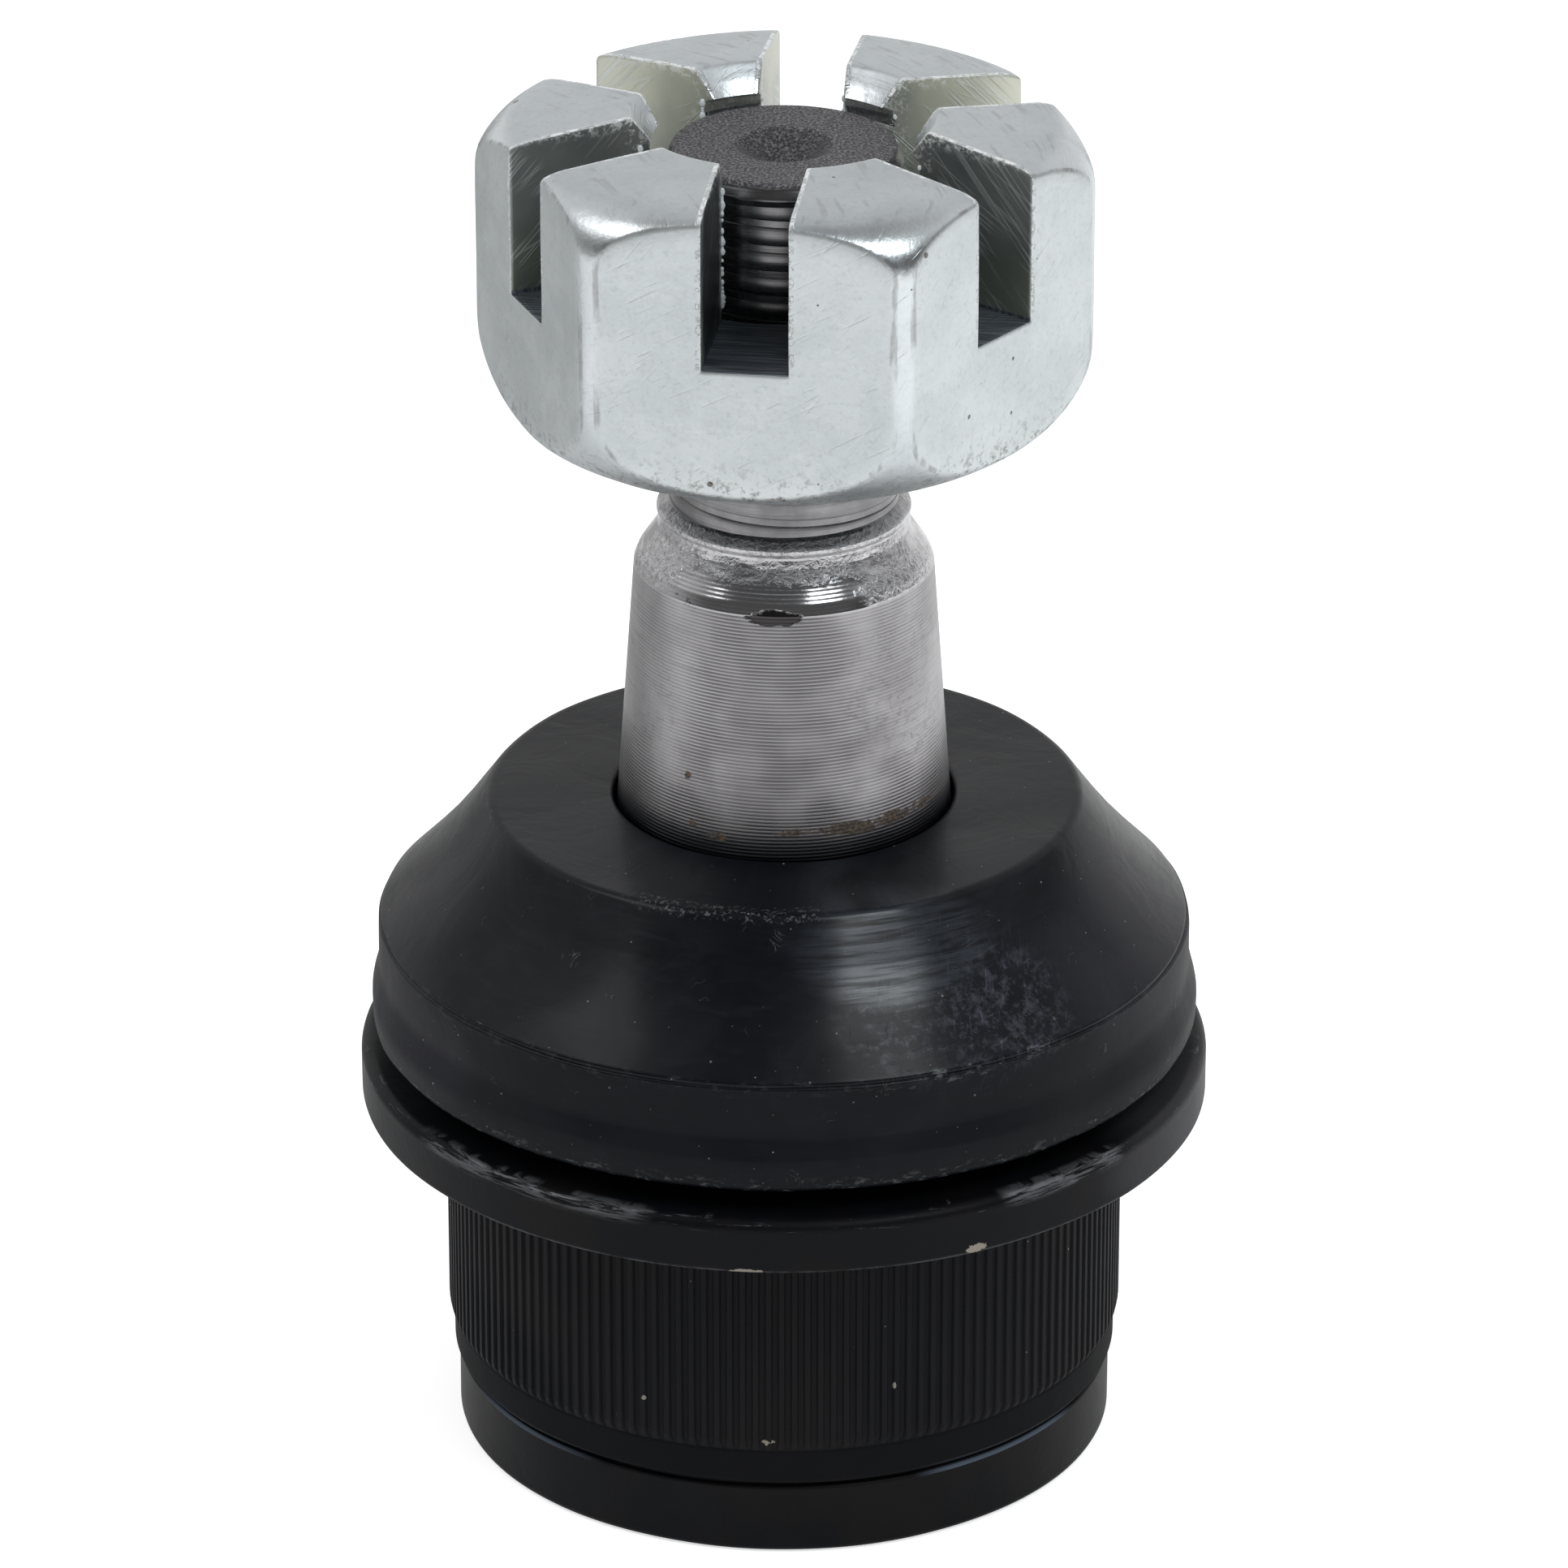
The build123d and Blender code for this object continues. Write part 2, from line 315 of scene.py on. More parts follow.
class Place:
    """The point being shaded, in millimetres of the object's own frame."""

    def __init__(self, graph: Graph) -> None:
        """Adds the coordinate nodes to the graph."""
        self.graph = graph
        coordinates = graph.node("ShaderNodeTexCoord").outputs["Object"]
        scaled = graph.node(
            "ShaderNodeVectorMath", {"operation": "SCALE"}, {0: coordinates, "Scale": 1.0 / MM}
        )
        self.x, self.y, self.z = graph.split(scaled.outputs[0])
        self.r = (self.x * self.x + self.y * self.y) ** 0.5

    def cells(self, size: float) -> bpy.types.NodeSocket:
        """A vector with cells of one size in every direction."""
        return self.graph.vector(self.x / size, self.y / size, self.z / size)

    def turned(self, round_cells: float, height: float) -> bpy.types.NodeSocket:
        """A vector that follows a turned surface, with no seam.

        Args:
            round_cells: Cells in each radian round the axis.
            height: Height of a cell along the axis.

        Returns:
            The vector.
        """
        across = round_cells / self.r.at_least(0.1)
        return self.graph.vector(self.x * across, self.y * across, self.z / height)

    def grain(
        self, size: float, detail: float = 2.0, grit: float = 0.5, warp: float = 0.0
    ) -> Channel:
        """Noise with features of one size in every direction."""
        return self.graph.noise(self.cells(size), detail, grit, warp)

    def streaks(
        self,
        round_cells: float,
        height: float,
        detail: float = 2.0,
        grit: float = 0.5,
        warp: float = 0.0,
    ) -> Channel:
        """Noise that follows a turned surface, with no seam."""
        return self.graph.noise(self.turned(round_cells, height), detail, grit, warp)

    def spun(self, round_cells: float, width: float) -> bpy.types.NodeSocket:
        """A vector for a faced surface: long cells round the axis, narrow along the radius."""
        across = round_cells / self.r.at_least(0.1)
        return self.graph.vector(self.x * across, self.y * across, self.r / width)

    def scratches(
        self,
        slope: float,
        width: float,
        length: float,
        start: float = 0.60,
        outward: bool = False,
    ) -> Channel:
        """Fine straight scratches that slant across upright and flat faces.

        Args:
            slope: Their angle to the horizontal in degrees.
            width: Spacing across the scratches in millimetres.
            length: Length of a scratch in millimetres.
            start: Noise level at which a scratch starts. A lower one gives more of them.
            outward: True to lay them on faces that run out from the axis.

        Returns:
            1 on a scratch and 0 off it.
        """
        c, s = math.cos(math.radians(slope)), math.sin(math.radians(slope))
        run = self.r if outward else self.x * 0.8 + self.y * 0.6
        along = run * c + self.z * s
        across = self.z * c - run * s
        side = self.x * 0.02 if outward else run / length
        lines = self.graph.noise(self.graph.vector(along / length, across / width, side), 1.0, 0.5)
        kept = self.grain(4.0 if outward else 2.0, 1.0).rise(0.40, 0.60)
        return lines.rise(start, start + 0.12) * kept


@dataclass(frozen=True)
class Patch:
    """A soft oval patch on a round piece.

    Side is in degrees from the front, positive to the right. Radius is that of the surface, z the
    height of the patch's middle, and width and height are its half sizes.
    """

    side: float
    radius: float
    z: float
    width: float
    height: float

    def on(self, at: Place) -> Channel:
        """1 at the patch's middle, falling to 0 at its rim."""
        angle = math.radians(FRONT_ANGLE + self.side)
        dx = at.x - self.radius * math.cos(angle)
        dy = at.y - self.radius * math.sin(angle)
        dz = at.z - self.z
        spread = (dx * dx + dy * dy) / self.width**2 + dz * dz / self.height**2
        return (1.0 - spread).at_least(0.0)

    def within(self, at: Place, soft: float) -> Channel:
        """1 well inside the patch, fading to 0 over its outer share."""
        return self.on(at).rise(0.0, soft)


def all_on(patches: Sequence[Patch], at: Place) -> Channel:
    """The sum of several patches."""
    total = patches[0].on(at)
    for patch in patches[1:]:
        total = total + patch.on(at)
    return total


@dataclass
class Surface:
    """What a finish says about the surface at one point."""

    colour: Colour
    roughness: Feed
    metallic: Feed = 0.0
    height: Channel | None = None
    coat: Feed = 0.0
    specular: float = 0.5


@dataclass(frozen=True)
class Finish:
    """One finish of the product. Its paint method says how it looks from point to point."""

    name: str

    def paint(self, graph: Graph, at: Place) -> Surface:
        """Works out the surface. Each finish has its own."""
        raise NotImplementedError

    def material(self) -> bpy.types.Material:
        """Makes the Blender material.

        Returns:
            The material, made once for each name.
        """
        found = bpy.data.materials.get(self.name)
        if found:
            return found
        material = bpy.data.materials.new(self.name)
        material.use_nodes = True
        graph = Graph(material.node_tree)
        surface = self.paint(graph, Place(graph))
        inputs = {
            "Base Color": surface.colour,
            "Roughness": surface.roughness,
            "Metallic": surface.metallic,
            "Coat Weight": surface.coat,
            "Coat Roughness": 0.2,
            "Specular IOR Level": surface.specular,
        }
        if surface.height is not None:
            inputs["Normal"] = graph.bump(surface.height)
        shader = graph.node("ShaderNodeBsdfPrincipled", {}, inputs)
        graph.node("ShaderNodeOutputMaterial", {}, {"Surface": shader.outputs[0]})
        return material


# --- Finishes ----------------------------------------------------------------------------------


def nut_directions() -> list[tuple[float, float]]:
    """Cosine and sine of the directions of the nut's three pairs of flats."""
    angles = [math.radians(90.0 + 60.0 * k) for k in range(3)]
    return [(math.cos(angle), math.sin(angle)) for angle in angles]


def slot_offset(at: Place) -> Channel:
    """Distance from the middle plane of the nearest of the nut's six slots, in millimetres."""
    offsets = [abs(at.x * -s + at.y * c) for c, s in nut_directions()]
    return offsets[0].at_most(offsets[1]).at_most(offsets[2])


def flat_reach(at: Place) -> Channel:
    """Reach towards the nearest of the nut's six flats, in millimetres."""
    reaches = [abs(at.x * c + at.y * s) for c, s in nut_directions()]
    return reaches[0].at_least(reaches[1]).at_least(reaches[2])


@dataclass(frozen=True)
class ZincPlate(Finish):
    """Bright zinc plating over forged steel, with pits, dirt, painted shade on the rolled edges and
    slot burrs painted as a highlight.
    """

    shade: tuple[float, float, float] = (0.61, 0.65, 0.66)
    light: tuple[float, float, float] = (0.69, 0.73, 0.74)
    crown_bottom: float = 106.9
    flat: float = 20.7
    nick: Patch = Patch(-34.5, 22.4, 92.1, 0.75, 0.6)

    def paint(self, graph: Graph, at: Place) -> Surface:
        """Clouded plating, facing rings on the crown, burrs at the slots painted as a highlight,
        pits and grime.
        """
        rolled = flat_reach(at).fall(self.flat - 0.22, self.flat - 0.06)
        crease = flat_reach(at).band(self.flat - 0.20, self.flat - 0.10, 0.06)
        clouds = at.grain(6.0, 4.0, 0.65, 0.25)
        grain = at.grain(0.35, 3.0, 0.6)
        flecks = at.grain(1.2, 3.0, 0.7)
        layers = Layers(graph, self.shade)
        layers.over(self.light, clouds.rise(0.35, 0.65))
        layers.over((0.44, 0.47, 0.48), grain.rise(0.58, 0.8) * 0.35)
        layers.over((0.80, 0.82, 0.84), flecks.rise(0.60, 0.74) * 0.25)
        pits = graph.specks(at.cells(2.6), 0.16, 0.11) + graph.specks(at.cells(1.1), 0.06, 0.10)
        nick = (self.nick.on(at) - grain * 0.5).rise(0.0, 0.25)
        grime_rows = at.z.fall(84.9, 89.0)
        grime = at.grain(0.7, 4.0, 0.75).rise(0.50, 0.64) * (0.06 + 0.8 * grime_rows)
        seam = graph.noise(graph.vector(at.x / 1.2, at.y / 1.2, at.z / 5.0), 3.0, 0.6)
        grime = grime + 0.45 * crease * seam.rise(0.46, 0.62)
        smudge = at.grain(1.6, 4.0, 0.7).rise(0.60, 0.72)
        dark = (pits * 0.8 + nick * 0.9 + grime * 0.75 + smudge * 0.10).at_most(1.0)
        # Painted shade: the rolled edges get a darker, bluer tone than the flats.
        layers.over((0.50, 0.53, 0.56), rolled * 0.30)
        layers.over((0.13, 0.105, 0.085), dark)

        # The crown's facing rings, and burrs along the edges of the slots, painted near white as a
        # highlight.
        crown = at.z.rise(self.crown_bottom, self.crown_bottom + 0.5)
        rings = graph.noise(at.spun(1.2, 0.16), 2.0, 0.6) * crown
        hatch = at.scratches(18.0, 0.22, 2.5, start=0.55) * crown
        layers.over((0.34, 0.36, 0.37), hatch * 0.35)
        burr_noise = at.grain(0.55, 3.0, 0.75)
        edge = slot_offset(at).band(SLOT_HALF - 0.3, SLOT_HALF + 0.34, 0.12)
        edge = edge * at.z.rise(SLOT_FLOOR, SLOT_FLOOR + 0.3)
        kept = at.grain(2.2, 1.0).rise(0.36, 0.52)
        on_crown = burr_noise.rise(0.36, 0.50) * crown * (0.35 + 0.65 * kept)
        burr_and_glint = edge * (on_crown + burr_noise.rise(0.52, 0.62)).at_most(1.0)
        layers.over((0.93, 0.95, 0.96), burr_and_glint * 0.9)

        scratches = at.scratches(34.0, 0.30, 7.0) + at.scratches(58.0, 0.4, 9.0)
        roughness = 0.36 + 0.12 * clouds + 0.12 * grain + 0.15 * grime + 0.1 * burr_and_glint
        roughness = roughness - 0.20 * rolled * (1.0 - crown) * at.z.rise(89.0, 93.0)
        height = (
            at.grain(2.2, 3.0, 0.5) * 0.05
            + grain * 0.012
            + flecks * 0.015
            + rings * 0.022
            - hatch * 0.012
            + burr_and_glint * burr_noise * 0.20
            - pits * 0.10
            - nick * 0.20
            - scratches * 0.012
        )
        return Surface(layers.top, roughness, 1.0 - 0.75 * burr_and_glint, height)


@dataclass(frozen=True)
class MilledZinc(Finish):
    """Slot walls and floors: cutter marks under thin plating, with painted shade and highlights."""

    top: float = 108.0
    front_slot_shade: Patch = Patch(-8.0, 15.5, 101.5, 5.8, 16.0)

    def paint(self, graph: Graph, at: Place) -> Surface:
        """Slanting cutter marks on the walls, fine level lines and painted shade on the floors."""
        clouds = at.grain(7.0, 2.0, 0.5)
        marks = at.scratches(-47.0, 0.20, 16.0, start=0.54, outward=True)
        marks = marks + at.scratches(-28.0, 0.26, 9.0, start=0.58, outward=True) * 0.7
        marks = marks.at_most(1.0)
        tint = clouds + 0.25 * at.z.rise(SLOT_FLOOR + 2.0, self.top)
        layers = Layers(graph, (0.38, 0.41, 0.40))
        layers.over((0.66, 0.67, 0.58), tint.rise(0.40, 0.80))
        # Painted shade: a dark patch over the front slot.
        front_slot_shade = self.front_slot_shade.within(at, 0.3)
        dim = at.y.fall(-5.0, 4.0)
        shade = graph.mix((0.25, 0.28, 0.23), (0.15, 0.175, 0.19), at.z.rise(98.0, 103.0))
        layers.over(shade, dim * (0.95 - 0.3 * clouds))
        layers.over((0.045, 0.058, 0.075), front_slot_shade * 0.85)
        layers.over((0.72, 0.76, 0.76), marks * (0.7 - 0.15 * dim - 0.15 * front_slot_shade))
        # Burrs at the bore, painted near white as a highlight.
        ragged = at.grain(0.5, 3.0, 0.75).rise(0.52, 0.60) * at.r.fall(11.3, 12.4)
        layers.over((0.85, 0.88, 0.86), ragged * 0.8)
        # Painted shade: the slot floors are darker, with fine level lines.
        floor = at.z.fall(SLOT_FLOOR + 0.15, SLOT_FLOOR + 0.4)
        lines = graph.noise(graph.vector(at.x / 6.0, at.y / 0.22, at.z), 2.0, 0.6)
        bottom = graph.mix((0.10, 0.12, 0.14), (0.24, 0.27, 0.31), lines.rise(0.42, 0.62))
        layers.over(bottom, floor)
        # Burrs along the top edges, painted near white as a highlight.
        burr_and_glint = at.grain(0.5, 3.0, 0.75).rise(0.46, 0.60)
        burr_and_glint = burr_and_glint * at.z.rise(self.top - 1.1, self.top - 0.1)
        layers.over((0.85, 0.88, 0.86), burr_and_glint * 0.6)
        roughness = 0.32 + 0.16 * clouds + 0.08 * floor
        metallic = 0.80 - 0.15 * clouds + 0.2 * front_slot_shade
        height = marks * 0.016 + clouds * 0.02 + lines * floor * 0.01
        return Surface(layers.top, roughness, metallic - 0.5 * burr_and_glint, height)


@dataclass(frozen=True)
class TurnedSteel(Finish):
    """The stud: turned taper, hammered shoulder and relief, oiled thread, granular end face,
    painted reflection by the seat and painted highlights on the thread.
    """

    taper_top: float = 72.4
    thread_bottom: float = 77.1
    end: float = 105.6
    ring_pitch: float = 0.28
    shaded: Patch = Patch(0.0, 12.0, 63.0, 5.0, 30.0)
    furrowed: Patch = Patch(-4.0, 12.0, 62.0, 8.0, 16.0)
    beaten_sides: tuple[Patch, ...] = (
        Patch(62.0, 10.5, 73.6, 6.5, 3.0),
        Patch(-78.0, 10.5, 73.6, 6.0, 3.0),
    )
    stains: tuple[Patch, ...] = (
        Patch(34.0, 12.8, 54.9, 10.5, 0.72),
        Patch(-24.0, 12.8, 54.2, 1.5, 0.5),
        Patch(-33.0, 12.8, 54.9, 0.8, 0.4),
        Patch(-36.0, 12.5, 58.6, 0.5, 0.5),
    )
    rubbed_right: Patch = Patch(52.0, 12.0, 65.0, 7.5, 7.5)
    rubbed_left: Patch = Patch(-62.0, 12.0, 64.0, 5.0, 6.0)
    nick: Patch = Patch(-4.0, 11.4, 72.1, 3.0, 0.85)

    def paint(self, graph: Graph, at: Place) -> Surface:
        """Zones along the stud, from the seat band up to the end face."""
        clouds = at.streaks(2.5, 9.0, 3.0, 0.55)
        streaks = at.streaks(1.5, 0.16, 2.0, 0.6)
        wobble = at.streaks(2.0, 3.0, 1.0) * 1.5
        rings = (at.z * (2 * math.pi / self.ring_pitch) + wobble).sine() * 0.5 + 0.5
        taper = at.z.fall(self.taper_top - 0.3, self.taper_top)
        shoulder = at.z.band(self.taper_top, self.thread_bottom + 0.2, 0.4)
        thread = at.z.band(self.thread_bottom, self.end - 0.2, 0.4)
        face_near = at.z.rise(self.end - 2.6, self.end - 2.4) * at.r.fall(7.9, 8.3)
        face = at.z.rise(self.end - 0.25, self.end).at_least(face_near)

        layers = Layers(graph, (0.37, 0.36, 0.37))
        layers.over((0.48, 0.47, 0.48), clouds.rise(0.3, 0.7))
        layers.over((0.30, 0.29, 0.30), self.shaded.within(at, 0.7) * 0.5)
        layers.over((0.22, 0.21, 0.22), streaks.rise(0.5, 0.75) * 0.40)
        turned_share = at.streaks(1.6, 7.0, 2.0, 0.6).rise(0.36, 0.6)
        crisp = self.furrowed.within(at, 0.55)
        furrows = rings.rise(0.15, 0.75) * (0.10 + 0.20 * turned_share + 0.50 * crisp) * taper
        layers.over((0.13, 0.125, 0.13), furrows)

        # The hammered shoulder, the oiled thread with crests painted light as a highlight, and the
        # granular end face.
        dents = at.grain(0.55, 3.0, 0.65, 0.8)
        beaten = at.z.rise(73.9, 74.7)
        for patch in self.beaten_sides:
            beaten = beaten + patch.within(at, 0.4)
        beaten = beaten.at_most(1.0)
        rough_patch = at.streaks(1.6, 3.0, 2.0, 0.6).rise(0.36, 0.54) * shoulder * beaten
        layers.over((0.60, 0.60, 0.615), shoulder * 0.8)
        layers.over((0.20, 0.18, 0.17), rough_patch * dents.rise(0.50, 0.68) * 0.6)
        oil = at.grain(1.6, 3.0, 0.6)
        # The crests carry less oil, and are painted light as a highlight.
        crest = at.r.rise(9.60, 9.76) * at.z.fall(self.end - 2.2, self.end - 1.6)
        oiled = thread * (0.36 + 0.4 * oil).at_most(1.0) * (1.0 - 0.7 * crest)
        layers.over((0.075, 0.075, 0.078), oiled)
        layers.over((0.62, 0.62, 0.63), crest * thread * 0.75)
        grains = at.grain(0.22, 3.0, 0.75)
        granular = graph.mix((0.055, 0.053, 0.057), (0.30, 0.29, 0.305), grains.rise(0.42, 0.66))
        layers.over(granular, face)

        # Stains, rust, rubs and dents of the taper, and the dark centre mark.
        # Painted reflection of the black boot on the polished band above it.
        seat_band_reflection = at.z.fall(53.4, 55.2)
        layers.over((0.085, 0.092, 0.108), seat_band_reflection * 0.9)
        stain = all_on(self.stains, at)
        blotches = at.grain(1.9, 2.0, 0.6).rise(0.34, 0.62)
        ragged = (stain * at.grain(0.3, 4.0, 0.8) * (0.55 + blotches)).rise(0.24, 0.36)
        grit = at.grain(0.25, 2.0, 0.6).rise(0.45, 0.60)
        rust = graph.mix((0.035, 0.028, 0.024), (0.15, 0.098, 0.050), grit)
        layers.over(rust, ragged * 0.9)
        pits = graph.specks(at.turned(4.0, 2.9), 0.22, 0.075) * taper
        rubbed = self.rubbed_right.within(at, 0.6) + self.rubbed_left.within(at, 0.6)
        rubs = at.grain(0.6, 4.0, 0.75, 0.6).rise(0.52, 0.68) * rubbed
        layers.over((0.19, 0.185, 0.19), rubs * 0.15)
        nick_edge = at.streaks(9.0, 0.6, 3.0, 0.7)
        nick = (self.nick.on(at) - nick_edge).rise(-0.05, 0.12)
        taper_edge = at.z.band(self.taper_top - 0.3, self.taper_top + 0.2, 0.2)
        dings = at.streaks(9.0, 0.7, 3.0, 0.75).rise(0.62, 0.72) * taper_edge
        holes = (pits + nick + 0.7 * dings).at_most(1.0)
        layers.over((0.05, 0.045, 0.045), holes * 0.92)
        mark = at.r.fall(END_MARK_R - 0.35, END_MARK_R) * face_near
        sooty = mark * (0.35 + 0.4 * grains.fall(0.4, 0.6))
        layers.over((0.035, 0.034, 0.037), sooty)

        roughness = (
            0.34
            + 0.10 * streaks
            + 0.25 * ragged
            - 0.24 * shoulder
            + 0.10 * shoulder * rough_patch
            - 0.06 * seat_band_reflection
            - 0.12 * thread
            + 0.20 * face
        )
        metallic = 1.0 - 0.75 * ragged - 0.35 * face
        height = (
            rings * (taper * (0.006 + 0.012 * turned_share) + 0.006 * shoulder * (1.0 - beaten))
            + streaks * (0.006 - 0.003 * shoulder)
            + dents * shoulder * (0.008 + 0.15 * rough_patch)
            + grains * face * 0.10
            - pits * 0.05
            - nick * 0.15
            - rubs * 0.014
        )
        return Surface(layers.top, roughness, metallic, height)


@dataclass(frozen=True)
class BootRubber(Finish):
    """Black moulded rubber with wipe marks, dust, fibres, a scuffed side, and painted sheen on its
    sides and glossy patch.
    """

    base: tuple[float, float, float] = (0.0036, 0.0044, 0.0068)
    bottom_z: float = 34.2
    scuffed: Patch = Patch(28.0, 28.5, 46.5, 11.0, 7.0)
    pale_scuff: Patch = Patch(36.0, 29.0, 45.4, 7.0, 4.6)
    far_sides: tuple[Patch, Patch] = (
        Patch(68.0, 29.5, 45.0, 13.0, 9.0),
        Patch(-64.0, 29.5, 38.5, 10.0, 6.5),
    )
    rim_marks: Patch = Patch(-12.0, 22.6, 52.6, 8.5, 3.0)
    polished: Patch = Patch(20.0, 24.5, 50.2, 9.0, 4.2)
    dulled: Patch = Patch(26.0, 28.0, 46.0, 11.0, 4.5)

    def paint(self, graph: Graph, at: Place) -> Surface:
        """Satin cone and top over a matt skirt."""
        skirt = at.z.fall(BOOT_CREASE - 0.5, BOOT_CREASE + 0.1)
        wipes = at.streaks(6.0, 0.9, 4.0, 0.6, 0.8)
        clouds = at.grain(7.0, 3.0, 0.6, 0.8)
        film = (wipes.rise(0.45, 0.8) * 0.6 + clouds.rise(0.4, 0.75) * 0.4) * (1.0 - 0.5 * skirt)
        layers = Layers(graph, self.base)
        layers.over((0.0098, 0.0110, 0.0150), film)

        # The scuffed side.
        scuffed = self.scuffed.on(at).rise(0.05, 0.6)
        fine = at.scratches(8.0, 0.22, 4.0) + at.scratches(68.0, 0.30, 3.0)
        mottle = at.grain(1.1, 5.0, 0.8).rise(0.46, 0.66)
        scuff = scuffed * (0.40 * mottle + 0.60 * fine)
        layers.over((0.050, 0.051, 0.068), scuff * 0.7)
        bright_scuff = self.pale_scuff.within(at, 0.8) * mottle
        layers.over((0.11, 0.12, 0.15), bright_scuff * (0.25 + 0.5 * fine))

        # Painted sheen: the far sides are painted lighter.
        far_right, far_left = (patch.within(at, 0.8) for patch in self.far_sides)
        side_sheen = (far_right + far_left) * (0.5 + 0.4 * clouds)
        layers.over((0.021, 0.021, 0.028), side_sheen)

        # Crumbs in the crease and the hem, dust, fibres and marks at the rim of the top.
        crease_line = at.z.band(BOOT_CREASE - 0.55, BOOT_CREASE + 0.25, 0.25)
        crumbs = at.streaks(26.0, 0.5, 3.0, 0.75).rise(0.52, 0.66)
        hem = at.z.fall(self.bottom_z + 0.4, self.bottom_z + 1.5)
        dusty = crumbs * (crease_line * (0.15 + 0.85 * scuffed) + hem * 0.8)
        settled = at.grain(6.0, 2.0, 0.6).rise(0.42, 0.62)
        dust = graph.specks(at.cells(1.5), 0.55, 0.070) * (0.4 + 0.6 * settled)
        dust = dust + graph.specks(at.cells(0.7), 0.25, 0.105) * (0.15 + 0.85 * settled)
        fibre = at.grain(2.4, 1.0, 0.5, 2.5)
        fibres = (1.0 - abs(fibre - 0.5) * 90.0).at_least(0.0)
        fibres = fibres * at.grain(3.1).rise(0.66, 0.72)
        rim_noise = at.grain(0.4, 3.0, 0.75).rise(0.54, 0.64)
        rim_edge = at.r.band(21.7, 22.9, 0.4) * at.z.rise(51.9, 52.5)
        rim_hatch = self.rim_marks.within(at, 0.5) * rim_noise * rim_edge
        dirt = (dust + 0.40 * dusty + 0.35 * fibres + 0.35 * rim_hatch).at_most(1.0)
        layers.over((0.38, 0.42, 0.42), dirt * 0.6)

        roughness = 0.36 + 0.16 * film + 0.20 * skirt + 0.10 * scuff + 0.3 * dirt
        smears = at.streaks(3.5, 0.30, 3.0, 0.7).rise(0.36, 0.64)
        glossy = self.polished.within(at, 0.7) + 0.5 * self.dulled.within(at, 0.8) * mottle
        glossy = glossy.at_most(1.0)
        # Painted highlight: a bluish tint in the streaks of the glossy patch, where the key lamp
        # reflects.
        layers.over((0.020, 0.030, 0.046), glossy * smears * 0.6)
        polish = 0.13 + 0.14 * clouds + 0.75 * glossy * (0.25 + 0.75 * smears) - 0.25 * scuff
        coat = (1.0 - 0.45 * skirt) * polish.at_least(0.0) * (1.0 - dirt)
        height = wipes * 0.018 + clouds * 0.12 + scuff * 0.02 + crumbs * hem * 0.10 + dirt * 0.02
        return Surface(layers.top, roughness, 0.0, height, coat, specular=0.08)


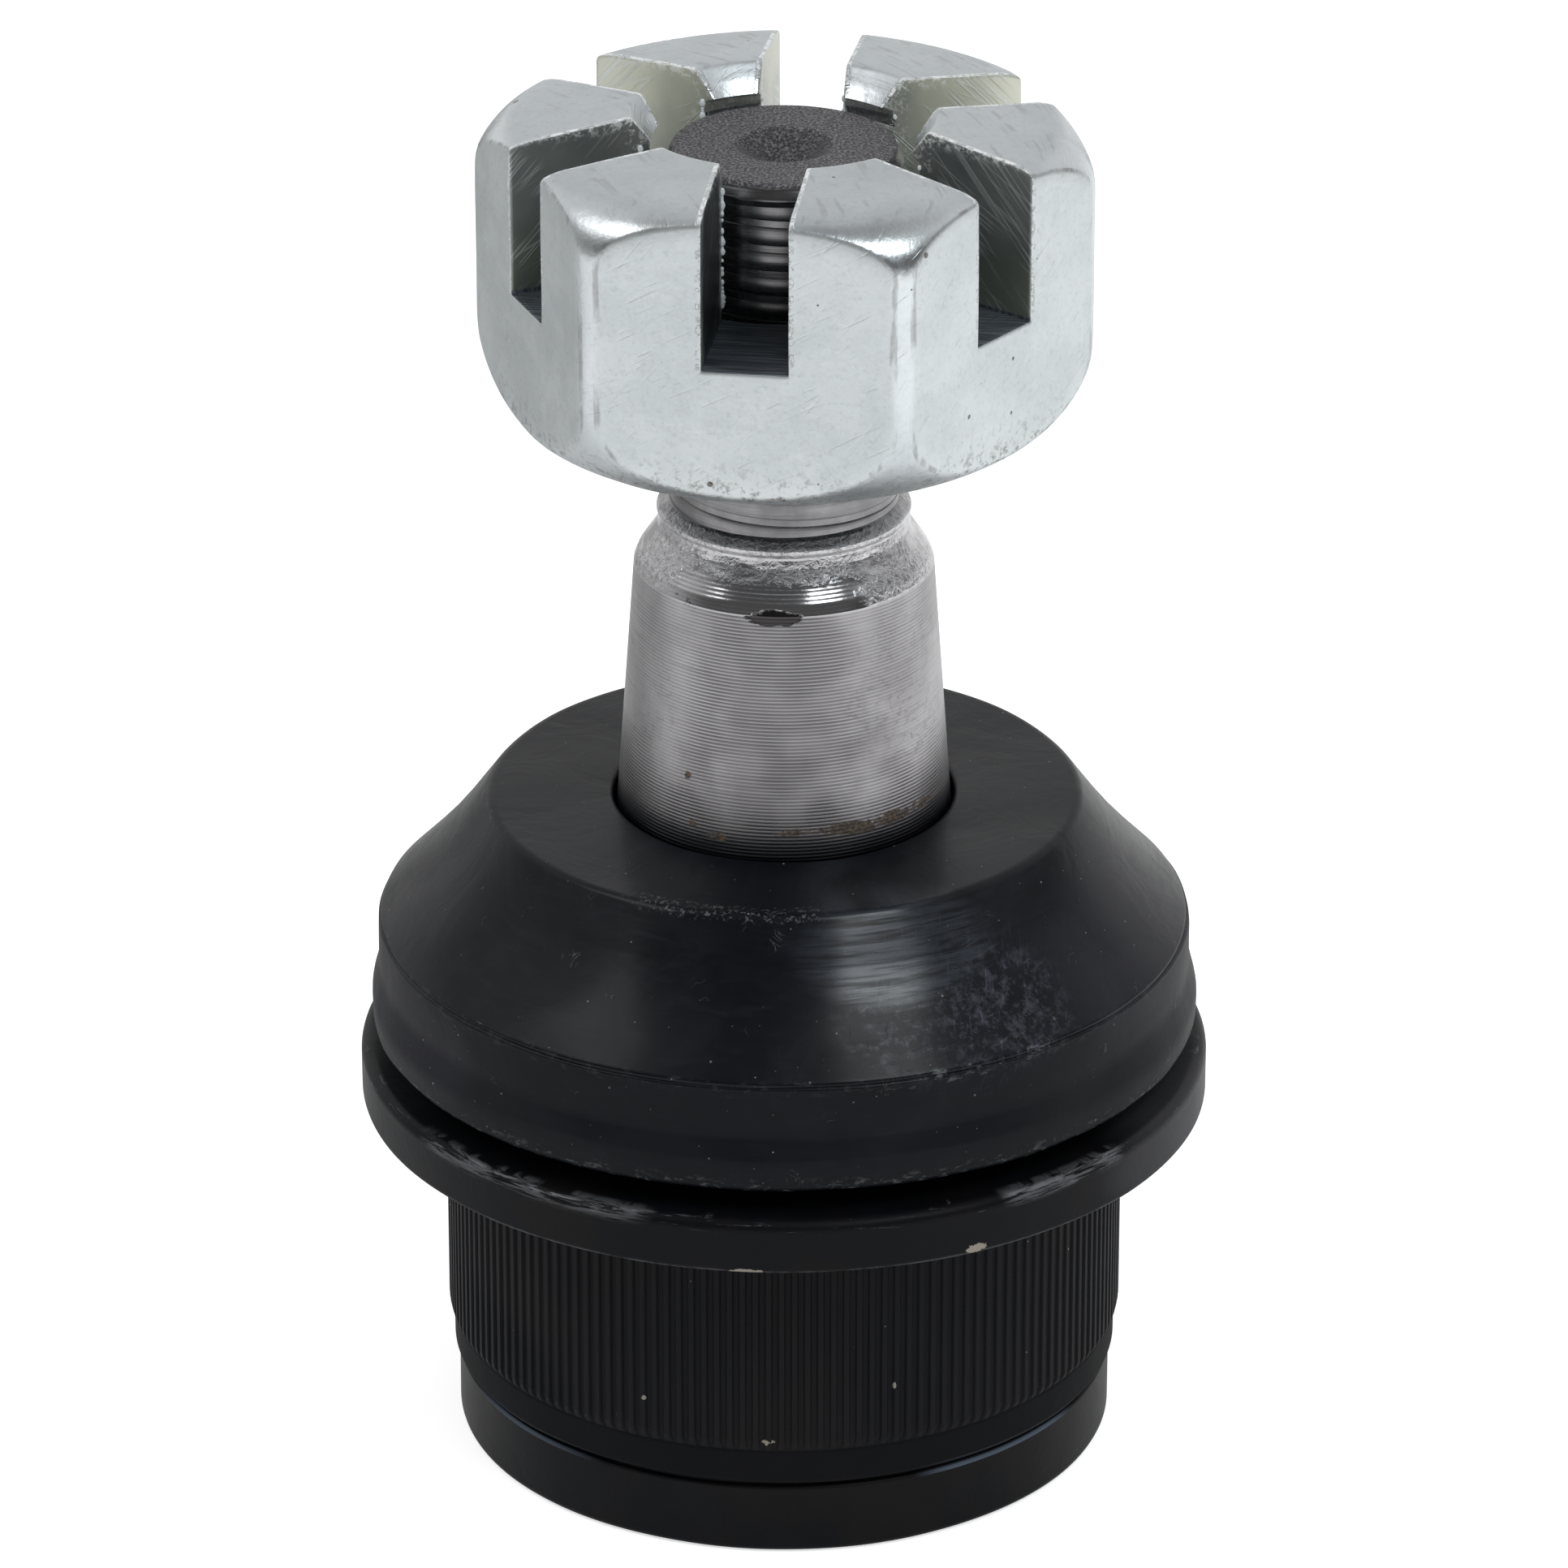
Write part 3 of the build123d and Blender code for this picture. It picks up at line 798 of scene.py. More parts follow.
@dataclass(frozen=True)
class BlackCoat(Finish):
    """Black phosphate and oil on the housing, rubbed through on its edges."""

    base: tuple[float, float, float] = (0.0038, 0.0043, 0.0060)
    sheen: Patch = Patch(68.0, 32.6, 30.0, 13.0, 3.6)
    shaded: Patch = Patch(-62.0, 26.0, 8.0, 13.0, 9.0)
    worn_left: Patch = Patch(-38.0, 32.6, 32.0, 12.0, 3.0)
    worn_right: Patch = Patch(41.0, 32.6, 32.0, 6.5, 3.0)
    glint_right: Patch = Patch(42.0, 25.8, 5.9, 9.0, 2.0)
    glint_left: Patch = Patch(-52.0, 25.8, 5.9, 9.0, 2.0)
    chips: tuple[Patch, ...] = (
        Patch(-3.2, 26.4, 9.9, 0.45, 0.35),
        Patch(-1.8, 26.4, 9.9, 0.35, 0.30),
        Patch(-24.0, 26.4, 12.6, 0.35, 0.35),
        Patch(18.5, 26.4, 14.2, 0.25, 0.45),
        Patch(26.0, 32.8, 28.4, 1.3, 0.55),
        Patch(-5.0, 32.8, 28.1, 1.9, 0.28),
    )

    def paint(self, graph: Graph, at: Place) -> Surface:
        """Even black with a warm bloom, chips near the flange and the knurl, and worn edges."""
        clouds = at.grain(6.0, 3.0, 0.6, 0.5)
        bloom = at.streaks(3.0, 14.0, 2.0, 0.6)
        layers = Layers(graph, self.base)
        layers.over((0.0085, 0.0070, 0.0064), bloom.rise(0.42, 0.68) * 0.8)
        layers.over((0.0060, 0.0072, 0.0100), clouds.rise(0.45, 0.75) * 0.6)
        barrel = at.z.band(KNURL_BOTTOM, FLANGE_BOTTOM, 0.3)
        crests = at.r.rise(KNURL_ROOT_R, KNURL_ROOT_R + 0.14) * barrel
        layers.over((0.011, 0.011, 0.0135), barrel * 0.35)
        # Painted highlight: the knurl's crests are a little lighter.
        layers.over((0.014, 0.0135, 0.0145), crests * 0.15)

        sheen = self.sheen.within(at, 0.6) * (0.5 + 0.5 * clouds)
        layers.over((0.032, 0.032, 0.037), sheen)
        layers.over((0.0030, 0.0036, 0.0052), self.shaded.within(at, 0.6) * 0.8)

        # The flange's worn edges, and glints beside the groove.
        rim = at.r.rise(31.3, 32.2) * at.z.rise(FLANGE_TOP - 1.3, FLANGE_TOP - 0.3)
        worn_left, worn_right = self.worn_left.within(at, 0.5), self.worn_right.within(at, 0.5)
        scrape = at.streaks(9.0, 0.25, 4.0, 0.7, 0.5)
        worn = (0.65 * worn_left + worn_right).at_most(1.0)
        wear = rim * (scrape.rise(0.42, 0.58) * worn + scrape.rise(0.60, 0.72) * 0.6)
        lower_edge = at.z.fall(FLANGE_BOTTOM + 0.05, FLANGE_BOTTOM + 0.35)
        lower_edge = at.r.rise(32.55, 32.8) * lower_edge
        edge_line = lower_edge * at.streaks(12.0, 2.0, 3.0, 0.7).rise(0.38, 0.6)
        rubbed = (wear + 0.35 * edge_line).at_most(1.0)
        layers.over((0.26, 0.27, 0.29), rubbed * 0.7)
        lips = at.z.band(5.38, 5.6, 0.08) + at.z.band(6.2, 6.42, 0.08)
        sides = self.glint_right.on(at) + self.glint_left.on(at) * 0.5
        glint = (lips * sides.rise(0.0, 0.7)).at_most(1.0) * at.z.fall(6.6, 6.8)
        layers.over((0.13, 0.165, 0.22), glint * 0.6)

        # Bare spots and chips.
        specks = graph.specks(at.turned(12.0, 2.3), 0.09, 0.085)
        specks = specks + graph.specks(at.turned(30.0, 1.0), 0.05, 0.12)
        chip_places = all_on(self.chips, at)
        ragged = at.grain(0.7, 4.0, 0.8)
        chips = (chip_places - 1.9 * ragged + 0.45).rise(0.0, 0.12) * chip_places.rise(0.0, 0.05)
        bare = (specks * barrel + chips).at_most(1.0)
        layers.over((0.40, 0.36, 0.30), bare * 0.8)

        # Painted shade: the smooth band between the groove and the knurl is darker.
        band = at.z.band(GROOVE_TOP, KNURL_BOTTOM, 0.2)
        layers.over((0.0035, 0.0040, 0.0055), band * 0.8)
        roughness = 0.33 + 0.14 * clouds + 0.14 * barrel + 0.2 * bare + 0.25 * band
        height = clouds * 0.05 + scrape * rim * 0.03 - bare * 0.05
        height = height + at.grain(0.5, 3.0, 0.6) * 0.012
        return Surface(layers.top, roughness, 0.9 * wear, height, specular=0.10)


@dataclass(frozen=True)
class PlainMetal(Finish):
    """A metal of the inner pieces: turned, sintered, drawn or plated."""

    shade: tuple[float, float, float]
    light: tuple[float, float, float]
    polish: float
    grain: float = 0.4
    grain_depth: float = 0.01
    metal: float = 1.0

    def paint(self, graph: Graph, at: Place) -> Surface:
        """Turning marks round the axis and a grain of the metal's own size."""
        turned = graph.noise(at.spun(2.0, 0.25), 2.0, 0.6)
        grains = at.grain(self.grain, 3.0, 0.65)
        clouds = at.grain(5.0, 2.0, 0.6)
        layers = Layers(graph, self.shade)
        layers.over(self.light, (0.5 * turned + 0.5 * clouds).rise(0.35, 0.65))
        layers.over(self.shade, grains.rise(0.5, 0.8) * 0.6)
        roughness = self.polish + 0.15 * grains + 0.08 * turned
        height = grains * self.grain_depth + turned * 0.006
        return Surface(layers.top, roughness, self.metal, height)


ZINC = ZincPlate("zinc_plate")
MILLED = MilledZinc("milled_zinc")
STUD_STEEL = TurnedSteel("turned_steel")
RUBBER = BootRubber("boot_rubber_black")
BLACK = BlackCoat("black_coat_worn")
SINTERED = PlainMetal(
    "sintered_iron_oiled", (0.10, 0.095, 0.09), (0.20, 0.19, 0.18), 0.48, 0.3, 0.03, 0.8
)
SPRING = PlainMetal("spring_steel_bright", (0.30, 0.30, 0.32), (0.46, 0.46, 0.48), 0.28)
# The slot burrs' finish is painted near white, as a highlight.
BURR_WITH_HIGHLIGHT = PlainMetal("slot_burr_painted_bright", (0.80, 0.86, 0.90), (0.90, 0.94, 0.96), 0.42, 0.5, 0.01, 0.1)
RING = PlainMetal("ring_steel_dark", (0.07, 0.07, 0.075), (0.13, 0.13, 0.135), 0.38)
COVER = PlainMetal(
    "cover_plate_black", (0.012, 0.012, 0.014), (0.030, 0.028, 0.028), 0.36, 0.5, 0.02, 0.2
)
BRASS = PlainMetal("fitting_brass", (0.52, 0.37, 0.14), (0.68, 0.50, 0.22), 0.30)


# --- Turned shapes -----------------------------------------------------------------------------


@dataclass(frozen=True)
class Corner:
    """A corner of a turned outline, in millimetres."""

    r: float
    z: float
    rounding: float = 0.0

    @property
    def point(self) -> np.ndarray:
        """The corner as a (radius, height) row."""
        return np.array([self.r, self.z])


def outline_points(corners: Sequence[Corner], closed: bool, run: float) -> np.ndarray:
    """Points along an outline whose corners are rounded by arcs.

    Straight runs get a point close to each end, which keeps the shading of the arcs off them.

    Args:
        corners: The corners in order.
        closed: Whether the last corner joins the first.
        run: Longest distance between points on a straight run.

    Returns:
        An array of (radius, height) rows.
    """
    count = len(corners)
    arcs: list[list[np.ndarray]] = []
    for i, corner in enumerate(corners):
        here = corner.point
        if not closed and i in (0, count - 1) or corner.rounding <= 0:
            arcs.append([here])
            continue
        back, ahead = corners[i - 1].point - here, corners[(i + 1) % count].point - here
        back, ahead = back / np.linalg.norm(back), ahead / np.linalg.norm(ahead)
        half = math.acos(max(-1.0, min(1.0, float(back @ ahead)))) / 2
        setback = corner.rounding / math.tan(half)
        middle = (back + ahead) / np.linalg.norm(back + ahead)
        centre = here + middle * corner.rounding / math.sin(half)
        start, stop = here + back * setback - centre, here + ahead * setback - centre
        turn = math.pi - 2 * half
        steps = max(2, math.ceil(math.degrees(turn) / 12))
        blend = np.linspace(0, 1, steps + 1)
        shares = [(math.sin((1 - t) * turn), math.sin(t * turn)) for t in blend]
        arcs.append([centre + (start * a + stop * b) / math.sin(turn) for a, b in shares])
    points: list[np.ndarray] = []
    for i, arc in enumerate(arcs):
        points += arc
        if i == count - 1 and not closed:
            break
        start, stop = arc[-1], arcs[(i + 1) % count][0]
        length = float(np.linalg.norm(stop - start))
        guard = min(0.15, length / 5)
        inner = max(1, math.ceil((length - 2 * guard) / run))
        if length > 0.05:
            along = guard + (length - 2 * guard) * np.arange(inner + 1) / inner
            points += [start + (stop - start) * d / length for d in along]
    return np.array(points)


def on_angle(rows: np.ndarray, angle: np.ndarray) -> np.ndarray:
    """Puts rows of (radius, height) at angles from +X."""
    return np.stack([rows[:, 0] * np.cos(angle), rows[:, 0] * np.sin(angle), rows[:, 1]], axis=1)


def turned_mesh(
    name: str, corners: Sequence[Corner], closed: bool, run: float, segments: int
) -> bpy.types.Mesh:
    """Revolves an outline round the Z axis.

    Args:
        name: Name of the mesh.
        corners: The outline's corners in order. A closed outline never meets the axis.
        closed: Whether the last corner joins the first.
        run: Longest distance between points on a straight run.
        segments: Number of faces round the axis.

    Returns:
        The mesh in metres, its normals outwards.
    """
    angles = np.arange(segments) * 2 * math.pi / segments
    points: list[np.ndarray] = []
    rings: list[np.ndarray] = []
    for r, z in outline_points(corners, closed, run):
        first = sum(len(p) for p in points)
        if r < 1e-6:
            points.append(np.array([[0.0, 0.0, z]]))
            rings.append(np.full(segments, first))
        else:
            points.append(on_angle(np.full((segments, 2), (r, z)), angles))
            rings.append(first + np.arange(segments))
    faces: list[list[int]] = []
    pairs = list(zip(rings, rings[1:]))
    if closed:
        pairs.append((rings[-1], rings[0]))
    for low, high in pairs:
        quads = np.stack([low, np.roll(low, -1), np.roll(high, -1), high], axis=1)
        for quad in quads:
            faces.append(list(dict.fromkeys(quad.tolist())))
    return mesh_from(name, np.concatenate(points), faces)


def bands(rings: int, around: int) -> list[list[int]]:
    """Faces between rings of points, each ring closed and around points long."""
    faces = []
    for first in range(0, (rings - 1) * around, around):
        for i in range(around):
            j = (i + 1) % around
            faces.append([first + i, first + j, first + around + j, first + around + i])
    return faces


def mesh_from(name: str, points_mm: np.ndarray, faces: Sequence[Sequence[int]]) -> bpy.types.Mesh:
    """Makes a smooth mesh in metres with its normals outwards and its doubles merged."""
    mesh = bpy.data.meshes.new(name)
    mesh.from_pydata((points_mm * MM).tolist(), [], faces)
    tidy_mesh(mesh)
    return mesh


def tidy_mesh(mesh: bpy.types.Mesh, weld: float = 0.0005) -> None:
    """Merges doubles closer than weld millimetres, turns normals outwards and shades smooth."""
    work = bmesh.new()
    work.from_mesh(mesh)
    bmesh.ops.remove_doubles(work, verts=work.verts, dist=weld * MM)
    bmesh.ops.recalc_face_normals(work, faces=work.faces)
    work.to_mesh(mesh)
    work.free()
    mesh.shade_smooth()
    mesh.set_sharp_from_angle(angle=SHARP_EDGE)


def read_points(mesh: bpy.types.Mesh) -> np.ndarray:
    """The mesh's points in millimetres."""
    flat = np.empty(len(mesh.vertices) * 3)
    mesh.vertices.foreach_get("co", flat)
    return flat.reshape(-1, 3) / MM


def write_points(mesh: bpy.types.Mesh, points_mm: np.ndarray) -> None:
    """Puts points in millimetres back into the mesh."""
    mesh.vertices.foreach_set("co", (points_mm * MM).ravel())
    mesh.update()


def uneven(mesh: bpy.types.Mesh, depth: float, size: float, seed: float) -> None:
    """Moves each point along its normal by smooth noise, as on a forged or moulded surface.

    Args:
        mesh: The mesh that is changed.
        depth: Largest move in millimetres.
        size: Size of the noise's features in millimetres.
        seed: Shifts the noise, so that pieces differ.
    """
    points = read_points(mesh)
    normals = np.empty(len(points) * 3)
    mesh.vertex_normals.foreach_get("vector", normals)
    offset = Vector((seed, 2 * seed, 3 * seed))
    moves = np.array([noise.noise(Vector(p / size) + offset) for p in points]) * depth
    write_points(mesh, points + normals.reshape(-1, 3) * moves[:, None])


def new_object(name: str, data: bpy.types.ID) -> bpy.types.Object:
    """Links a new object for a mesh, a lamp or a camera, at the origin."""
    made = bpy.data.objects.new(name, data)
    bpy.context.scene.collection.objects.link(made)
    return made


def dress(piece: bpy.types.Object, *finishes: Finish) -> None:
    """Gives the piece its finishes in order of their material slots."""
    piece.data.materials.clear()
    for finish in finishes:
        piece.data.materials.append(finish.material())


def applied(piece: bpy.types.Object) -> bpy.types.Object:
    """Turns the piece's modifiers into a plain mesh."""
    evaluated = piece.evaluated_get(bpy.context.evaluated_depsgraph_get())
    mesh = bpy.data.meshes.new_from_object(evaluated)
    piece.modifiers.clear()
    piece.data = mesh
    return piece


def cut(piece: bpy.types.Object, cutters: Sequence[bpy.types.Object]) -> None:
    """Cuts the cutters' solids out of the piece and removes them."""
    for cutter in cutters:
        modifier = piece.modifiers.new("cut", "BOOLEAN")
        modifier.operation = "DIFFERENCE"
        modifier.solver = "EXACT"
        modifier.object = cutter
    applied(piece)
    for cutter in cutters:
        bpy.data.objects.remove(cutter)


def bar_cutter(
    name: str, half: tuple[float, float, float], z: float, angle: float
) -> bpy.types.Object:
    """A box-shaped cutter through the axis.

    Args:
        name: Name of the cutter.
        half: Half sizes along, across and up, in millimetres.
        z: Height of its middle.
        angle: Direction of its long side in degrees from +X.

    Returns:
        The cutter.
    """
    mesh = bpy.data.meshes.new(name)
    work = bmesh.new()
    bmesh.ops.create_cube(work, size=2.0)
    c, s = math.cos(math.radians(angle)), math.sin(math.radians(angle))
    for vertex in work.verts:
        x, y, h = (part * size for part, size in zip(vertex.co, half))
        vertex.co = Vector((x * c - y * s, x * s + y * c, z + h)) * MM
    work.to_mesh(mesh)
    work.free()
    return new_object(name, mesh)


def rod_cutter(name: str, radius: float, length: float, z: float, angle: float) -> bpy.types.Object:
    """A round cutter across the axis, its direction in degrees from +X."""
    steps = 48
    turn = np.arange(steps) * 2 * math.pi / steps
    c, s = math.cos(math.radians(angle)), math.sin(math.radians(angle))
    ends = []
    for along in (-length / 2, length / 2):
        side, up = radius * np.cos(turn), z + radius * np.sin(turn)
        ends.append(np.stack([along * c - side * s, along * s + side * c, up], axis=1))
    caps = [list(range(steps)), list(range(steps, 2 * steps))]
    return new_object(name, mesh_from(name, np.concatenate(ends), bands(2, steps) + caps))


# --- Geometry Nodes ----------------------------------------------------------------------------


class Grower(NodeMaker):
    """A Geometry Nodes tree with named inputs, and the modifier that runs it."""

    def __init__(self, name: str, inputs: Mapping[str, str]) -> None:
        """Makes an empty tree.

        Args:
            name: Name of the tree.
            inputs: Each input's name and socket type, besides the geometry.
        """
        self.tree = bpy.data.node_groups.new(name, "GeometryNodeTree")
        face = self.tree.interface
        face.new_socket("Geometry", in_out="INPUT", socket_type="NodeSocketGeometry")
        self.ids = {
            key: face.new_socket(key, in_out="INPUT", socket_type=kind).identifier
            for key, kind in inputs.items()
        }
        face.new_socket("Geometry", in_out="OUTPUT", socket_type="NodeSocketGeometry")
        self.source = self.tree.nodes.new("NodeGroupInput")

    def given(self, name: str) -> bpy.types.NodeSocket:
        """The tree's input of that name."""
        return self.source.outputs[name]

    def sum(self, operation: str, *values: object) -> bpy.types.NodeSocket:
        """The result of one Math node."""
        return self.node(
            "ShaderNodeMath", {"operation": operation}, dict(enumerate(values))
        ).outputs[0]

    def end(self, geometry: bpy.types.NodeSocket, material: str, second: str | None = None) -> None:
        """Ends the tree in Realize Instances and Set Material.

        Args:
            geometry: What the tree has made.
            material: Name of the input with its material.
            second: Name of the input with the material of faces whose "milled" attribute is set.
        """
        real = self.node("GeometryNodeRealizeInstances", {}, {0: geometry}).outputs[0]
        weld = self.node("GeometryNodeMergeByDistance", {}, {"Geometry": real, "Distance": 2e-6})
        given = {"Geometry": weld.outputs[0], "Material": self.given(material)}
        shown = self.node("GeometryNodeSetMaterial", {}, given).outputs[0]
        if second:
            kind = {"data_type": "BOOLEAN"}
            milled = self.node("GeometryNodeInputNamedAttribute", kind, {"Name": "milled"})
            given = {"Geometry": shown, "Selection": milled.outputs[0]}
            given["Material"] = self.given(second)
            shown = self.node("GeometryNodeSetMaterial", {}, given).outputs[0]
        out = self.tree.nodes.new("NodeGroupOutput")
        self.tree.links.new(shown, out.inputs[0])

    def grow(self, piece: bpy.types.Object, values: Mapping[str, object]) -> bpy.types.Object:
        """Runs the tree on a piece and keeps the result as its mesh.

        Args:
            piece: The object whose mesh is the tree's geometry.
            values: The value of each named input.

        Returns:
            The piece with its new mesh.
        """
        modifier = piece.modifiers.new(self.tree.name, "NODES")
        modifier.node_group = self.tree
        for name, value in values.items():
            modifier[self.ids[name]] = value
        return applied(piece)


def ring_of_copies() -> Grower:
    """A tree that sets Count copies of the geometry evenly round the Z axis."""
    inputs = {"Material": "NodeSocketMaterial", "Milled": "NodeSocketMaterial"}
    grower = Grower("ring_of_copies", {"Count": "NodeSocketInt", **inputs})
    in_place = {"Count": grower.given("Count"), "Offset": (0, 0, 0)}
    spots = grower.node("GeometryNodeMeshLine", {}, in_place)
    step = grower.sum("DIVIDE", 2 * math.pi, grower.given("Count"))
    index = grower.node("GeometryNodeInputIndex").outputs[0]
    turn = grower.node("ShaderNodeCombineXYZ", {}, {"Z": grower.sum("MULTIPLY", index, step)})
    feeds = {"Points": spots.outputs[0], "Instance": grower.given("Geometry")}
    feeds["Rotation"] = turn.outputs[0]
    copies = grower.node("GeometryNodeInstanceOnPoints", {}, feeds)
    grower.end(copies.outputs[0], "Material", "Milled")
    return grower


def helical_ridge() -> Grower:
    """A tree that sweeps a blunt V along a right-hand helix, fading into the core at both ends."""
    numbers = ("Turns", "Pitch", "Root Radius", "Bottom", "Depth", "Crest", "Base")
    inputs = {name: "NodeSocketFloat" for name in numbers}
    grower = Grower("helical_ridge", {**inputs, "Material": "NodeSocketMaterial"})
    rise = grower.sum("MULTIPLY", grower.given("Turns"), grower.given("Pitch"))
    spiral = grower.node(
        "GeometryNodeCurveSpiral",
        {},
        {
            "Resolution": THREAD_STEPS,
            "Rotations": grower.given("Turns"),
            "Start Radius": grower.given("Root Radius"),
            "End Radius": grower.given("Root Radius"),
            "Height": rise,
        },
    )
    lift = grower.node("ShaderNodeCombineXYZ", {}, {"Z": grower.given("Bottom")})
    placed = grower.node(
        "GeometryNodeSetPosition", {}, {"Geometry": spiral.outputs[0], "Offset": lift.outputs[0]}
    )
    curve = {"Curve": placed.outputs[0]}
    upright = grower.node("GeometryNodeSetCurveNormal", {"mode": "Z_UP"}, curve)
    along = grower.node("GeometryNodeSplineParameter").outputs["Factor"]
    turn_share = grower.sum("DIVIDE", THREAD_LEAD, grower.given("Turns"))
    lead_in = grower.sum("DIVIDE", along, turn_share)
    lead_out = grower.sum("DIVIDE", grower.sum("SUBTRACT", 1.0, along), turn_share)
    fade = grower.sum("MINIMUM", 1.0, grower.sum("MINIMUM", lead_in, lead_out))
    faded = grower.node(
        "GeometryNodeSetCurveRadius",
        {},
        {"Curve": upright.outputs[0], "Radius": grower.sum("MAXIMUM", fade, 0.02)},
    )
    depth, crest, base = grower.given("Depth"), grower.given("Crest"), grower.given("Base")
    sunk = grower.sum("MULTIPLY", depth, -0.08)
    corners = [
        (sunk, grower.sum("MULTIPLY", base, -1.0)),
        (depth, grower.sum("MULTIPLY", crest, -1.0)),
        (depth, crest),
        (sunk, base),
    ]
    points = {
        f"Point {i + 1}": grower.node("ShaderNodeCombineXYZ", {}, {"X": x, "Y": y}).outputs[0]
        for i, (x, y) in enumerate(corners)
    }
    blunt = grower.node("GeometryNodeCurvePrimitiveQuadrilateral", {"mode": "POINTS"}, points)
    soft = grower.node(
        "GeometryNodeFilletCurve",
        {"mode": "POLY"},
        {
            "Curve": blunt.outputs[0],
            "Count": 2,
            "Radius": grower.sum("MULTIPLY", crest, 0.7),
            "Limit Radius": True,
        },
    )
    swept = grower.node(
        "GeometryNodeCurveToMesh",
        {},
        {"Curve": faded.outputs[0], "Profile Curve": soft.outputs[0], "Fill Caps": True},
    )
    grower.end(swept.outputs[0], "Material")
    return grower


# --- Pieces ------------------------------------------------------------------------------------


@dataclass(frozen=True)
class Extent:
    """Reach of a CAD node in millimetres."""

    reach_x: float
    reach_y: float
    bottom: float
    top: float

    @classmethod
    def of(cls, node: str) -> "Extent":
        """Reads the reach of one node from the frame."""
        low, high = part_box(node)
        return cls(high.x / MM, high.y / MM, low.z / MM, high.z / MM)


class Side(Enum):
    """Which side of a thread's root its ridge stands on."""

    OUTSIDE = 1.0
    INSIDE = -1.0


@dataclass
class Housing:
    """Forged cup with pilot bands, a knurled press barrel, a flange and a boot collar."""

    extent: Extent = Extent.of("housing")
    lip: Corner = Corner(20.8, 1.2, 0.3)
    pilot_r: float = 25.65
    pilot_top: float = 5.6
    groove_r: float = 25.2
    band_r: float = 26.0
    knurl_r: float = 26.4
    knurl_count: int = 166
    land_share: float = 0.42
    foot_share: float = 0.92
    run_out: tuple[tuple[float, float], ...] = ((0.0, 0.0), (0.25, 0.45), (0.6, 0.82), (1.0, 1.0))
    collar_r: float = 27.0
    mouth_r: float = 15.0
    mouth_flare_r: float = 17.6
    bearing_bore_r: float = 20.5
    shoulder_z: float = 31.6
    cover_r: float = 22.3
    cover_top: float = 3.0

    def body_mesh(self) -> bpy.types.Mesh:
        """The turned body, without the knurl's teeth."""
        rim_r, top = self.extent.reach_x, self.extent.top
        corners = [
            Corner(self.lip.r, 0.0, self.lip.rounding),
            Corner(self.pilot_r, 0.0, 0.5),
            Corner(self.pilot_r, self.pilot_top, 0.25),
            Corner(self.groove_r, self.pilot_top + 0.1),
            Corner(self.groove_r, GROOVE_TOP - 0.1),
            Corner(self.band_r, GROOVE_TOP, 0.3),
            Corner(self.band_r, KNURL_BOTTOM + 0.3),
            Corner(KNURL_ROOT_R, KNURL_BOTTOM + 1.0),
            Corner(KNURL_ROOT_R, FLANGE_BOTTOM),
            Corner(rim_r, FLANGE_BOTTOM, 0.3),
            Corner(rim_r, FLANGE_TOP, 0.9),
            Corner(self.collar_r, FLANGE_TOP, 0.4),
            Corner(self.collar_r, top, 0.5),
            Corner(self.mouth_flare_r, top, 0.5),
            Corner(self.mouth_r, self.shoulder_z),
            Corner(self.bearing_bore_r, self.shoulder_z),
            Corner(self.bearing_bore_r, self.cover_top),
            Corner(self.cover_r, self.cover_top),
            Corner(self.cover_r, self.lip.z),
            Corner(self.lip.r, self.lip.z),
        ]
        return turned_mesh("housing_body", corners, closed=True, run=1.5, segments=360)

    def tooth_mesh(self) -> bpy.types.Mesh:
        """One tooth of the knurl: a long low ridge that runs out into the band below."""
        pitch = 2 * math.pi / self.knurl_count
        root = self.band_r - 0.05
        land = pitch * self.land_share / 2
        half = [
            (root, pitch * self.foot_share / 2),
            (self.knurl_r - 0.08, land + pitch * 0.05),
            (self.knurl_r, land - pitch * 0.02),
        ]
        section = [(r, -angle) for r, angle in half] + half[::-1]
        rows = [(KNURL_BOTTOM + dz, share) for dz, share in self.run_out]
        rows.append((FLANGE_BOTTOM + 0.1, 1.0))
        points = []
        for z, share in rows:
            for r, angle in section:
                radius = root + (r - root) * share
                points.append((radius * math.cos(angle), radius * math.sin(angle), z))
        width = len(section)
        faces = bands(len(rows), width)
        faces.append([len(points) - width + i for i in range(width)])
        return mesh_from("knurl_tooth", np.array(points), faces)

    def build(self, ring: Grower) -> list[bpy.types.Object]:
        """Makes the body and its knurl.

        Args:
            ring: The tree that repeats a piece round the axis.

        Returns:
            Both pieces, riding on the housing.
        """
        body = new_object("housing_body", self.body_mesh())
        uneven(body.data, depth=0.06, size=9.0, seed=1.7)
        dress(body, BLACK)
        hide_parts("housing")
        knurl = new_object("housing_knurl", self.tooth_mesh())
        coat = BLACK.material()
        ring.grow(knurl, {"Count": self.knurl_count, "Material": coat, "Milled": coat})
        tidy_mesh(knurl.data)
        for piece in (body, knurl):
            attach(piece, "housing")
        return [body, knurl]


